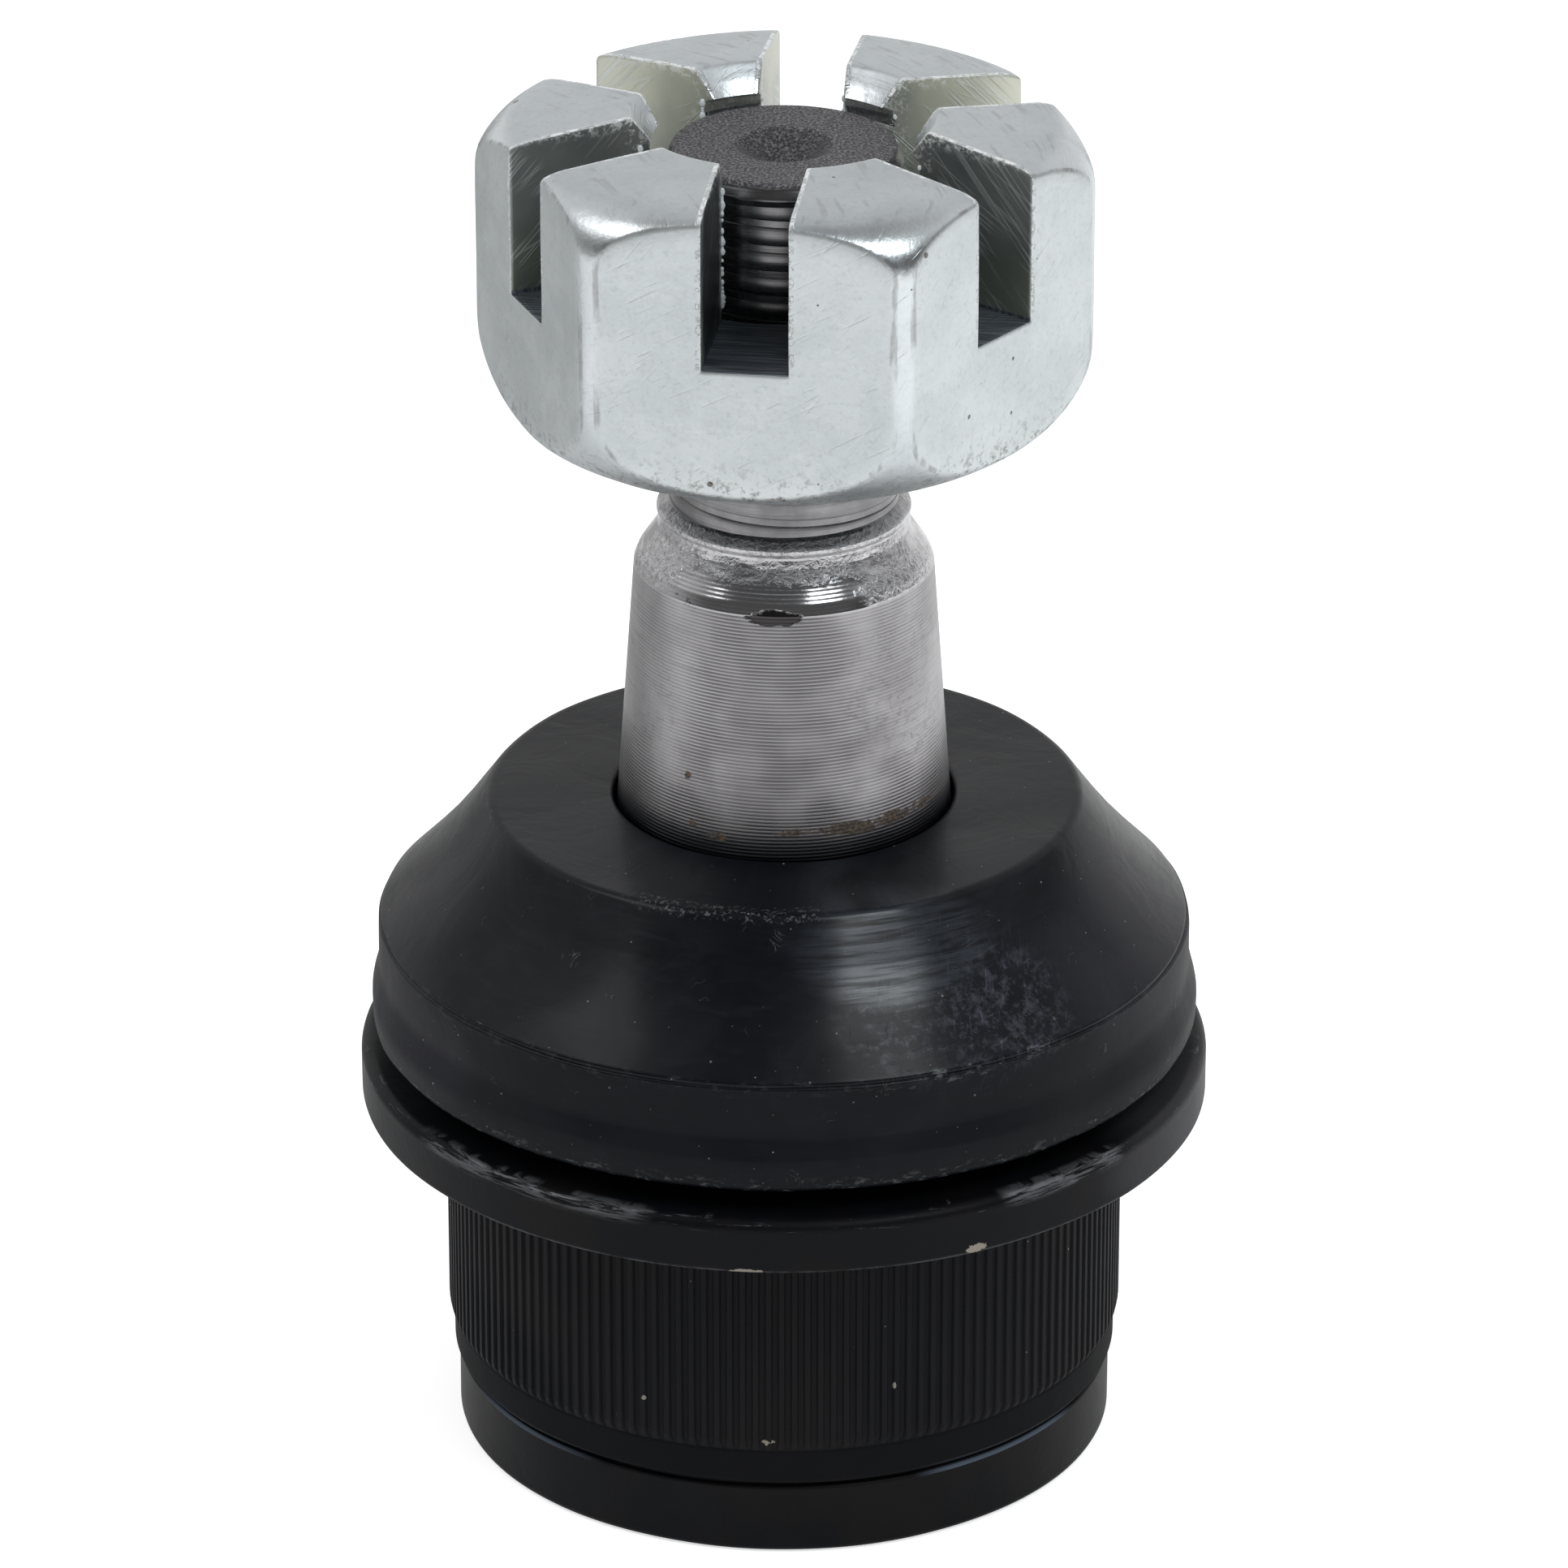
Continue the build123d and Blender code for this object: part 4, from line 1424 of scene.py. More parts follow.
@dataclass
class DustBoot:
    """Moulded rubber boot: a skirt pressed over the collar, and a cone."""

    extent: Extent = Extent.of("dust_boot")
    top_r: float = 22.75
    waist: Corner = Corner(26.95, 47.2, 40.0)
    shoulder: Corner = Corner(31.35, BOOT_CREASE, 0.5)
    hole_r: float = 13.1
    ring_r: float = 29.2
    wall: float = 2.2
    lip_bottom: float = 47.6
    lip_wall: float = 2.9
    bend_top: float = 52.4

    def skirt_mesh(self) -> bpy.types.Mesh:
        """The upright skirt with its crease at the top."""
        reach, bottom = self.extent.reach_x, self.extent.bottom
        corners = [
            Corner(self.ring_r, bottom, 0.2),
            Corner(reach - 0.1, bottom, 0.7),
            Corner(reach, 36.4, 3.0),
            Corner(31.4, 38.8, 3.0),
            Corner(self.shoulder.r + 0.03, self.shoulder.z - 0.1, 0.25),
            Corner(self.shoulder.r - 0.9, self.shoulder.z + 0.15, 0.2),
            Corner(self.ring_r, 42.0, 0.5),
        ]
        return turned_mesh("dust_boot_skirt", corners, closed=True, run=0.9, segments=400)

    def cone_mesh(self) -> bpy.types.Mesh:
        """The cone, the flat top and the lip round the stud."""
        top = self.extent.top
        run, rise = self.shoulder.r - self.top_r, top - self.shoulder.z
        length = math.hypot(run, rise)
        inner_waist = Corner(
            self.waist.r - self.wall * rise / length, self.waist.z - self.wall * run / length, 40.0
        )
        corners = [
            Corner(self.shoulder.r - 0.7, self.shoulder.z - 0.5, 0.1),
            Corner(self.shoulder.r, self.shoulder.z, 0.35),
            self.waist,
            Corner(self.top_r, top, 0.8),
            Corner(self.hole_r, top, 0.45),
            Corner(self.hole_r, top - 0.9),
            Corner(self.hole_r + 1.0, top - self.wall, 0.2),
            Corner(20.95, top - self.wall, 1.0),
            inner_waist,
            Corner(self.ring_r + 0.1, 41.9, 0.3),
        ]
        return turned_mesh("dust_boot_cone", corners, closed=True, run=0.7, segments=300)

    def lip_mesh(self) -> bpy.types.Mesh:
        """The lip under the flat top."""
        inner_r, outer_r, top = self.hole_r + 0.15, self.hole_r + self.lip_wall, self.extent.top
        corners = [
            Corner(inner_r, top - 0.9, 0.1),
            Corner(inner_r + 0.1, self.lip_bottom, 0.4),
            Corner(outer_r + 1.5, self.lip_bottom - 0.3, 0.2),
            Corner(outer_r + 1.5, self.lip_bottom + 0.5, 0.2),
            Corner(outer_r, self.lip_bottom + 0.7, 0.3),
            Corner(outer_r, top - 0.9, 0.1),
        ]
        return turned_mesh("dust_boot_lip", corners, closed=True, run=0.7, segments=200)

    def build(self) -> list[bpy.types.Object]:
        """Makes the skirt on the housing, the cone, and its lip, which rides on the boot lip."""
        skirt = new_object("dust_boot_skirt", self.skirt_mesh())
        uneven(skirt.data, depth=0.10, size=5.0, seed=4.1)
        dress(skirt, RUBBER)
        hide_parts("dust_boot")
        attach(skirt, "housing")
        cone = new_object("dust_boot_cone", self.cone_mesh())
        uneven(cone.data, depth=0.10, size=8.0, seed=6.3)
        dress(cone, RUBBER)
        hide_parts("dust_boot")
        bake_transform(cone)
        lip = new_object("dust_boot_lip", self.lip_mesh())
        dress(lip, RUBBER)
        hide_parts("dust_boot")
        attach(lip, "boot_lip")
        return [skirt, cone, lip]


@dataclass
class BallStud:
    """Stud with its ball, taper, relief, rolled thread, end face and cotter hole."""

    extent: Extent = Extent.of("ball_stud")
    ball_r: float = 17.0
    ball_z: float = 23.0
    ball_flat_r: float = 5.0
    neck_r: float = 10.0
    neck_top: float = 43.0
    taper_large: Corner = Corner(13.08, 49.0, 1.2)
    taper_small: Corner = Corner(11.44, 72.25, 0.35)
    relief_r: float = 9.6
    relief_bottom: float = 75.3
    ring_r: float = 9.68
    ring_z: float = 76.65
    thread_bottom: float = 77.25
    thread_r: float = 9.8
    thread_depth: float = 1.15
    face_r: float = 8.36
    chamfer_height: float = 1.72
    mark_depth: float = 2.25
    cotter_r: float = 2.5
    cotter_z: float = 98.5
    cotter_angle: float = 30.0

    def core_mesh(self) -> bpy.types.Mesh:
        """The turned core, from the flat under the ball up to the centre mark."""
        top = self.extent.top
        low = math.acos(self.ball_flat_r / self.ball_r)
        high = math.acos((self.neck_r + 0.8) / self.ball_r)
        ball = [
            Corner(self.ball_r * math.cos(a), self.ball_z + self.ball_r * math.sin(a))
            for a in np.linspace(-low, high, 40)
        ]
        core_r = self.thread_r - self.thread_depth
        shank = [
            Corner(self.neck_r, self.ball_z + self.ball_r * math.sin(high) + 1.4, 2.0),
            Corner(self.neck_r, self.neck_top, 8.0),
            self.taper_large,
            self.taper_small,
            Corner(self.taper_small.r - 0.3, self.taper_small.z + 0.75, 0.4),
            Corner(self.relief_r, self.relief_bottom, 0.4),
            Corner(self.relief_r - 0.15, self.ring_z - 0.7, 0.1),
            Corner(self.relief_r - 0.15, self.ring_z - 0.5, 0.1),
            Corner(self.ring_r, self.ring_z - 0.15, 0.15),
            Corner(self.ring_r, self.ring_z + 0.15, 0.15),
            Corner(core_r, self.ring_z + 1.0, 0.3),
            Corner(core_r, top - self.chamfer_height - 0.2, 0.3),
            Corner(core_r + 0.35, top - self.chamfer_height + 0.6, 0.3),
            Corner(self.face_r, top, 0.3),
            Corner(END_MARK_R, top, 0.35),
            Corner(0.35, top - self.mark_depth, 0.0),
            Corner(0.0, top - self.mark_depth),
        ]
        corners = [Corner(0.0, ball[0].z), *ball, *shank]
        return turned_mesh("ball_stud", corners, closed=False, run=1.0, segments=256)

    def build(self, helix: Grower) -> list[bpy.types.Object]:
        """Makes the core and its thread, both cut by the cotter hole.

        Args:
            helix: The tree that sweeps a thread's ridge.

        Returns:
            Both pieces, riding on the stud.
        """
        core = new_object("ball_stud_core", self.core_mesh())
        thread = thread_ridge(
            "ball_stud_thread",
            helix,
            Side.OUTSIDE,
            self.thread_r - self.thread_depth,
            self.thread_depth,
            (self.thread_bottom, self.extent.top - 0.9),
            STUD_STEEL,
        )
        bevel_top(thread.data, self.face_r, self.thread_r, self.extent.top, self.chamfer_height)
        length = 30.0
        hole = (self.cotter_r, length, self.cotter_z, self.cotter_angle)
        for piece in (core, thread):
            cut(piece, [rod_cutter("cotter_cutter", *hole)])
            tidy_mesh(piece.data)
            dress(piece, STUD_STEEL)
            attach(piece, "stud")
        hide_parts("ball_stud")
        return [core, thread]


def thread_ridge(
    name: str,
    helix: Grower,
    side: Side,
    root: float,
    depth: float,
    span: tuple[float, float],
    finish: Finish,
) -> bpy.types.Object:
    """Makes the ridge of one thread.

    Args:
        name: Name of the piece.
        helix: The tree that sweeps the ridge.
        side: Whether the ridge stands outside or inside its root.
        root: Radius of the thread's root.
        depth: Depth of the thread.
        span: Lowest and highest point of the ridge's middle.
        finish: Its finish.

    Returns:
        The ridge as a closed mesh.
    """
    piece = new_object(name, bpy.data.meshes.new(name))
    helix.grow(
        piece,
        {
            "Turns": (span[1] - span[0]) / THREAD_PITCH,
            "Pitch": THREAD_PITCH * MM,
            "Root Radius": root * MM,
            "Bottom": span[0] * MM,
            "Depth": side.value * depth * MM,
            "Crest": THREAD_CREST_HALF * MM,
            "Base": (THREAD_CREST_HALF + depth * math.tan(THREAD_FLANK)) * MM,
            "Material": finish.material(),
        },
    )
    tidy_mesh(piece.data)
    return piece


def bevel_top(
    mesh: bpy.types.Mesh, face_r: float, full_r: float, top: float, height: float
) -> None:
    """Turns the mesh down to a bevel that falls from full_r to face_r at the top."""
    points = read_points(mesh)
    radii = np.hypot(points[:, 0], points[:, 1])
    below = np.clip((top - points[:, 2]) / height, 0, 1)
    limit = face_r + (full_r - face_r) * below
    share = np.minimum(1.0, limit / radii)
    points[:, :2] *= share[:, None]
    write_points(mesh, points)


@dataclass(frozen=True)
class RolledEnd:
    """One end of the nut: a shallow cone, and the rolled edge between it and the sides.

    The cone starts at radius start_r and height start_z. Facing is 1 for the crown and -1 for the
    base, and edge_r is the radius of the sides at the corners.
    """

    start_r: float
    start_z: float
    slope: float
    roll_r: float
    edge_r: float
    facing: int

    @property
    def normal(self) -> np.ndarray:
        """Direction out of the cone in the (radius, height) plane."""
        slope = math.radians(self.slope)
        return np.array([math.sin(slope), self.facing * math.cos(slope)])

    @property
    def centre(self) -> np.ndarray:
        """Centre of the rolled edge's arc."""
        r = self.edge_r - self.roll_r
        reach = (r - self.start_r) * self.normal[0]
        return np.array([r, self.start_z - (self.roll_r + reach) / self.normal[1]])

    def path(self, crease_r: float, count: int) -> np.ndarray:
        """Points along the cone and its rolled edge, up to the crease with a flat.

        Args:
            crease_r: Radius of the crease at this column.
            count: Number of steps.

        Returns:
            Rows of (radius, height), from the cone's inner edge to the crease.
        """
        start, centre = np.array([self.start_r, self.start_z]), self.centre
        full = math.atan2(self.normal[1], self.normal[0])
        crease = self.facing * math.acos(min(1.0, (crease_r - centre[0]) / self.roll_r))
        tangent = centre + self.roll_r * self.normal
        line = float(np.linalg.norm(tangent - start))
        arc = self.roll_r * abs(full - crease)
        rows = []
        for s in graded(line + arc, count):
            if s <= line:
                rows.append(start + (tangent - start) * s / line)
            else:
                angle = full + (crease - full) * (s - line) / arc
                rows.append(centre + self.roll_r * np.array([math.cos(angle), math.sin(angle)]))
        return np.array(rows)

    def distance(self, r: np.ndarray, z: np.ndarray) -> np.ndarray:
        """Signed distance to this end, negative inside, for points at radius r and height z."""
        cone = (r - self.start_r) * self.normal[0] + (z - self.start_z) * self.normal[1]
        dr, dz = r - self.centre[0], self.facing * (z - self.centre[1])
        slope = math.radians(self.slope)
        in_arc = (dr > 0) & (dz > 0) & (dr * math.cos(slope) > dz * math.sin(slope))
        flat_or_side = np.maximum(cone, r - self.edge_r)
        return np.where(in_arc, np.hypot(dr, dz) - self.roll_r, flat_or_side)


@dataclass
class CastleNut:
    """Hexagon nut with rolled edges, a countersunk crown and six slots: one sector, repeated."""

    extent: Extent = Extent.of("castle_nut")
    corner_rounding: float = 2.8
    edge_r: float = 23.5
    crown_slope: float = 5.0
    crown_roll_r: float = 4.8
    face_r: float = 19.2
    base_slope: float = 28.0
    base_roll_r: float = 7.6
    mouth_r: float = 11.45
    mouth_depth: float = 2.1
    crest_r: float = 9.87
    thread_depth: float = 0.85
    lip_height: float = 0.5
    bottom_mouth_r: float = 11.2
    thread_offset: float = 1.55  # puts the nut's ridges midway between the stud's
    sectors: int = 6
    edge_softness: float = 0.24
    side_rows: int = 16
    crown_rows: int = 20
    face_rows: int = 8
    burr_step: float = 0.36
    burrs_in: float = 0.8  # share of the steps with a burr, on the edge that has most
    burrs_out: float = 0.25

    @property
    def flat(self) -> float:
        """Distance from the axis to a flat."""
        return self.extent.reach_y

    @property
    def bore_r(self) -> float:
        """Radius of the bore at the thread's root."""
        return self.crest_r + self.thread_depth

    @property
    def crown(self) -> RolledEnd:
        """The upper end."""
        return RolledEnd(
            self.mouth_r, self.extent.top, self.crown_slope, self.crown_roll_r, self.edge_r, 1
        )

    @property
    def base(self) -> RolledEnd:
        """The lower end."""
        return RolledEnd(
            self.face_r, self.extent.bottom, self.base_slope, self.base_roll_r, self.edge_r, -1
        )

    def hex_radius(self, angle: np.ndarray) -> np.ndarray:
        """Radius of the rounded hexagon at an angle from the middle of a flat."""
        straight = self.flat / np.cos(angle)
        centre = (self.flat - self.corner_rounding) / math.cos(math.pi / 6)
        off = np.abs(angle) - math.pi / 6
        inside = np.maximum(self.corner_rounding**2 - (centre * np.sin(off)) ** 2, 0)
        tangent = math.atan2((self.flat - self.corner_rounding) * math.tan(math.pi / 6), self.flat)
        return np.where(np.abs(angle) < tangent, straight, centre * np.cos(off) + np.sqrt(inside))

    def column_rows(self, crease_r: float) -> tuple[np.ndarray, np.ndarray]:
        """The outline of one column, split at the slot's floor.

        Args:
            crease_r: Radius of the hexagon at this column.

        Returns:
            The lower outline from the bore out to the side, and the upper one back to the bore,
            both as rows of (radius, height).
        """
        bottom, top, floor = self.extent.bottom, self.extent.top, SLOT_FLOOR
        bore_low = (self.bore_r, bottom + self.bottom_mouth_r - self.bore_r)
        lip = (self.crest_r, top - self.mouth_depth)
        bore_high = (self.bore_r, lip[1] - self.lip_height)
        base = self.base.path(crease_r, 14)
        crown = self.crown.path(crease_r, self.crown_rows)[::-1]
        low = joined(
            run_between((self.bore_r, floor), bore_low, 12),
            run_between(bore_low, (self.bottom_mouth_r, bottom), 5),
            run_between((self.bottom_mouth_r, bottom), tuple(base[0]), 12),
            base,
            run_between(tuple(base[-1]), (crease_r, floor), self.side_rows),
        )
        high = joined(
            run_between((crease_r, floor), tuple(crown[0]), self.side_rows),
            crown,
            run_between(tuple(crown[-1]), lip, self.face_rows),
            run_between(lip, bore_high, 4),
            run_between(bore_high, (self.bore_r, floor), 12),
        )
        return low, high

    def angle_at(self, share: float, radius: np.ndarray) -> np.ndarray:
        """Angle of an outer column, from the slot's wall at share 0 to the corner at share 1."""
        wall = np.arcsin(SLOT_HALF / radius)
        return wall * (1 - share) + math.pi / 6 * share

    def half_sector(self) -> tuple[np.ndarray, list[list[int]], list[bool]]:
        """Half a sector, from the middle of a flat to a corner, in its own frame along +X.

        Returns:
            Its points in millimetres, its faces, and which faces are milled.
        """
        sheets: list[tuple[np.ndarray, bool]] = []
        inner_low, outer_low, outer_high = [], [], []
        for t in slot_columns(SLOT_HALF):
            crease_r = math.hypot(self.flat, t)
            low, _ = self.column_rows(crease_r)
            inner_low.append(on_angle(low, np.arcsin(t / low[:, 0])))
        for share in wall_columns():
            angle = math.pi / 9
            for _ in range(12):  # settles where the column meets the side
                angle = float(self.angle_at(share, self.hex_radius(np.array(angle))))
            crease_r = float(self.hex_radius(np.array(angle)))
            low, high = self.column_rows(crease_r)
            outer_low.append(on_angle(low, self.angle_at(share, low[:, 0])))
            outer_high.append(on_angle(high, self.angle_at(share, high[:, 0])))
        sheets.append((np.array(inner_low + outer_low[1:]), False))
        sheets.append((np.array(outer_high), False))

        edge = outer_high[0]
        rise, across = self.side_rows, self.crown_rows + self.face_rows
        bore_side = edge[rise + across :][::-1]
        face_side = edge[: rise + 1]
        top_side = edge[rise : rise + across + 1][::-1]
        floor_x = edge[-1][0] + graded(edge[0][0] - edge[-1][0], across)
        floor_side = np.stack(
            [floor_x, np.full(across + 1, SLOT_HALF), np.full(across + 1, SLOT_FLOOR)], axis=1
        )
        sheets.append((coons(floor_side, top_side, bore_side, face_side), True))
        floor = []
        for t in slot_columns(SLOT_HALF):
            near = math.sqrt(self.bore_r**2 - t**2)
            reach = (floor_x - floor_x[0]) / (floor_x[-1] - floor_x[0])
            xs = near + (self.flat - near) * reach
            floor.append(np.stack([xs, np.full_like(xs, t), np.full_like(xs, SLOT_FLOOR)], axis=1))
        sheets.append((np.array(floor), True))
        return stitched(sheets)

    def sector_mesh(self) -> bpy.types.Mesh:
        """One sector, mirrored about the middle of its flat, its milled faces marked."""
        points, faces, milled = self.half_sector()
        mirrored = points * np.array([1.0, -1.0, 1.0])
        count = len(points)
        all_faces = faces + [[i + count for i in reversed(face)] for face in faces]
        mesh = bpy.data.meshes.new("castle_nut_sector")
        both = np.concatenate([points, mirrored])
        turned = np.stack([-both[:, 1], both[:, 0], both[:, 2]], axis=1)
        mesh.from_pydata((turned * MM).tolist(), [], all_faces)
        attribute = mesh.attributes.new("milled", "BOOLEAN", "FACE")
        attribute.data.foreach_set("value", milled + milled)
        return mesh

    def form(self, points: np.ndarray) -> np.ndarray:
        """Signed distance to the nut's form with softened edges, negative inside.

        Args:
            points: Points in millimetres.

        Returns:
            One distance for each point.
        """
        r = np.hypot(points[:, 0], points[:, 1])
        z = points[:, 2]
        sector = 2 * math.pi / self.sectors
        angle = np.arctan2(points[:, 1], points[:, 0]) - math.pi / 2
        angle = (angle + sector / 2) % sector - sector / 2
        x, t = r * np.cos(angle), np.abs(r * np.sin(angle))

        inner = self.flat - self.corner_rounding
        half_side = inner * math.tan(math.pi / 6)
        corner = np.hypot(x - inner, t - half_side) - self.corner_rounding
        hexagon = np.where((t > half_side) & (x > inner), corner, x - self.flat)

        outside = np.maximum(self.crown.distance(r, z), self.base.distance(r, z))
        floor_chamfer = (self.bottom_mouth_r - (z - self.extent.bottom) - r) / math.sqrt(2)
        run = np.array([self.mouth_r - self.crest_r, self.mouth_depth])
        run = run / np.linalg.norm(run)
        countersink = -(r - self.mouth_r) * run[1] + (z - self.extent.top) * run[0]
        soft = self.edge_softness
        solid = round_max(hexagon, outside, 1.4 * soft)
        solid = round_max(solid, self.extent.bottom - z, soft)
        under_lip = (self.extent.top - self.mouth_depth - z) / self.lip_height
        bore = self.crest_r + self.thread_depth * np.clip(under_lip, 0, 1) - r
        inside = np.maximum(np.maximum(floor_chamfer, countersink), bore)
        solid = round_max(solid, inside, soft)
        slot = np.minimum(SLOT_HALF - t, z - SLOT_FLOOR)
        return round_max(solid, slot, 0.75 * soft)

    def soften(self, mesh: bpy.types.Mesh) -> None:
        """Moves every point on to the form with softened edges."""
        points = read_points(mesh)
        step, flattest, farthest = 1e-3, 0.05, 0.3
        for _ in range(4):
            value = self.form(points)
            ahead = [self.form(points + axis * step) for axis in np.eye(3)]
            behind = [self.form(points - axis * step) for axis in np.eye(3)]
            gradient = (np.stack(ahead, axis=1) - np.stack(behind, axis=1)) / (2 * step)
            size = np.maximum((gradient**2).sum(axis=1), flattest)
            move = np.clip(value / size, -farthest, farthest)
            points = points - gradient * move[:, None]
        write_points(mesh, points)

    def build(self, ring: Grower, helix: Grower) -> list[bpy.types.Object]:
        """Makes the nut, the thread in its bore and the burrs in its slots.

        Args:
            ring: The tree that repeats the sector.
            helix: The tree that sweeps the thread's ridge.

        Returns:
            The three pieces, riding on the nut.
        """
        nut = new_object("castle_nut_body", self.sector_mesh())
        ring.grow(
            nut, {"Count": self.sectors, "Material": ZINC.material(), "Milled": MILLED.material()}
        )
        self.soften(nut.data)
        tidy_mesh(nut.data, weld=0.002)
        uneven(nut.data, depth=0.05, size=6.0, seed=9.4)
        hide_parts("castle_nut")
        span = (self.extent.bottom + self.thread_offset, self.extent.top - self.mouth_depth * 0.75)
        thread = thread_ridge(
            "castle_nut_thread", helix, Side.INSIDE, self.bore_r, self.thread_depth, span, MILLED
        )
        slots = [
            bar_cutter(
                f"slot_cutter_{i}",
                (20.0, SLOT_HALF, 10.0),
                SLOT_FLOOR + 10.0,
                90.0 + i * 360.0 / self.sectors,
            )
            for i in range(self.sectors // 2)
        ]
        cut(thread, slots)
        self.open_mouth(thread.data)
        tidy_mesh(thread.data)
        dress(thread, MILLED)
        burrs = new_object("castle_nut_burrs", self.burr_mesh())
        bright = BURR_WITH_HIGHLIGHT.material()
        ring.grow(burrs, {"Count": self.sectors, "Material": bright, "Milled": bright})
        for piece in (nut, thread, burrs):
            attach(piece, "nut")
        return [nut, thread, burrs]

    def burr_mesh(self) -> bpy.types.Mesh:
        """Beads of metal that the cutter left down the inner edges of one slot."""
        rng = np.random.default_rng(11)
        depth = -math.sqrt(self.bore_r**2 - SLOT_HALF**2)
        low, high = SLOT_FLOOR + 1.0, self.extent.top - self.mouth_depth - self.lip_height
        spots, bead_faces = round_bead()
        points, faces = [], []
        for side, share in ((-1, self.burrs_in), (1, self.burrs_out)):
            for z in np.arange(low, high, self.burr_step):
                keep, shift, size = rng.random(3)
                if keep > share:
                    continue
                middle = np.array([side * (SLOT_HALF - 0.03), depth - 0.05, z + 0.2 * shift])
                reach = (0.12 + 0.16 * size**2) * np.array([1.0, 1.0, 1.0 + 0.8 * shift])
                faces += [[len(points) + i for i in face] for face in bead_faces]
                points += list(middle + reach * spots)
        return mesh_from("slot_burrs", np.array(points), faces)

    def open_mouth(self, mesh: bpy.types.Mesh) -> None:
        """Turns the thread's ridge back to the countersink."""
        points = read_points(mesh)
        radii = np.hypot(points[:, 0], points[:, 1])
        slope = (self.mouth_r - self.crest_r) / self.mouth_depth
        limit = self.mouth_r - (self.extent.top - points[:, 2]) * slope
        share = np.maximum(1.0, np.minimum(limit, self.bore_r + 0.1) / radii)
        points[:, :2] *= share[:, None]
        write_points(mesh, points)


def round_bead() -> tuple[np.ndarray, list[list[int]]]:
    """Points and faces of a bead of half size 1: three rings of points and two ends."""
    sides = 6
    turn = np.arange(sides) * 2 * math.pi / sides
    rings = [
        on_angle(np.full((sides, 2), (around, level)), turn)
        for level, around in ((-0.75, 0.66), (0.0, 1.0), (0.75, 0.66))
    ]
    ends = np.array([[0.0, 0.0, -1.0], [0.0, 0.0, 1.0]])
    faces = bands(len(rings), sides)
    for i in range(sides):
        j = (i + 1) % sides
        faces += [[3 * sides, j, i], [3 * sides + 1, 2 * sides + i, 2 * sides + j]]
    return np.concatenate([*rings, ends]), faces


def round_max(a: np.ndarray, b: np.ndarray, radius: float) -> np.ndarray:
    """The larger of two distances, with the edge where they meet rounded to a radius."""
    arc = np.hypot(np.maximum(a + radius, 0), np.maximum(b + radius, 0))
    return np.minimum(-radius, np.maximum(a, b)) + arc


def graded(length: float, count: int) -> np.ndarray:
    """Distances along a run of that length, crowded at both ends, count steps in all."""
    first, second = min(0.12, length * 0.05), min(0.34, length * 0.14)
    middle = np.linspace(second, length - second, count - 3)
    return np.concatenate([[0.0, first], middle, [length - first, length]])


def run_between(start: tuple[float, float], stop: tuple[float, float], count: int) -> np.ndarray:
    """Graded points on a straight run in the (radius, height) plane."""
    a, b = np.array(start), np.array(stop)
    length = float(np.linalg.norm(b - a))
    return a + (b - a) * (graded(length, count) / length)[:, None]


def joined(*runs: np.ndarray) -> np.ndarray:
    """Runs end to end, each shared point kept once."""
    return np.concatenate([runs[0]] + [run[1:] for run in runs[1:]])


def slot_columns(half: float) -> np.ndarray:
    """Distances of the columns under a slot from its middle, crowded at the wall."""
    return np.concatenate([np.linspace(0.0, half - 0.34, 5), [half - 0.12, half]])


def wall_columns() -> np.ndarray:
    """Shares of the columns between a slot's wall and the corner, crowded at the wall."""
    return np.concatenate([[0.0, 0.015, 0.04], np.linspace(0.09, 1.0, 15)])


def coons(low: np.ndarray, high: np.ndarray, left: np.ndarray, right: np.ndarray) -> np.ndarray:
    """Fills four sides with a grid.

    Args:
        low: Lower side, left to right.
        high: Upper side, left to right.
        left: Left side, upwards.
        right: Right side, upwards.

    Returns:
        The grid, indexed upwards and then to the right.
    """
    u = np.linalg.norm(np.diff(low, axis=0), axis=1).cumsum()
    u = np.concatenate([[0.0], u / u[-1]])[None, :, None]
    v = np.linalg.norm(np.diff(right, axis=0), axis=1).cumsum()
    v = np.concatenate([[0.0], v / v[-1]])[:, None, None]
    sides = (1 - v) * low[None] + v * high[None] + (1 - u) * left[:, None] + u * right[:, None]
    corners = (1 - u) * (1 - v) * low[0] + u * (1 - v) * low[-1]
    return sides - (corners + (1 - u) * v * high[0] + u * v * high[-1])


def stitched(
    sheets: Sequence[tuple[np.ndarray, bool]],
) -> tuple[np.ndarray, list[list[int]], list[bool]]:
    """Joins grids of points into one list of points and faces.

    Args:
        sheets: Each grid, and whether its faces are milled.

    Returns:
        The points, the faces and which of them are milled.
    """
    points, faces, milled = [], [], []
    first = 0
    for grid, is_milled in sheets:
        rows, columns = grid.shape[:2]
        points.append(grid.reshape(-1, 3))
        for i in range(rows - 1):
            for j in range(columns - 1):
                a = first + i * columns + j
                faces.append([a, a + 1, a + columns + 1, a + columns])
                milled.append(is_milled)
        first += rows * columns
    return np.concatenate(points), faces, milled


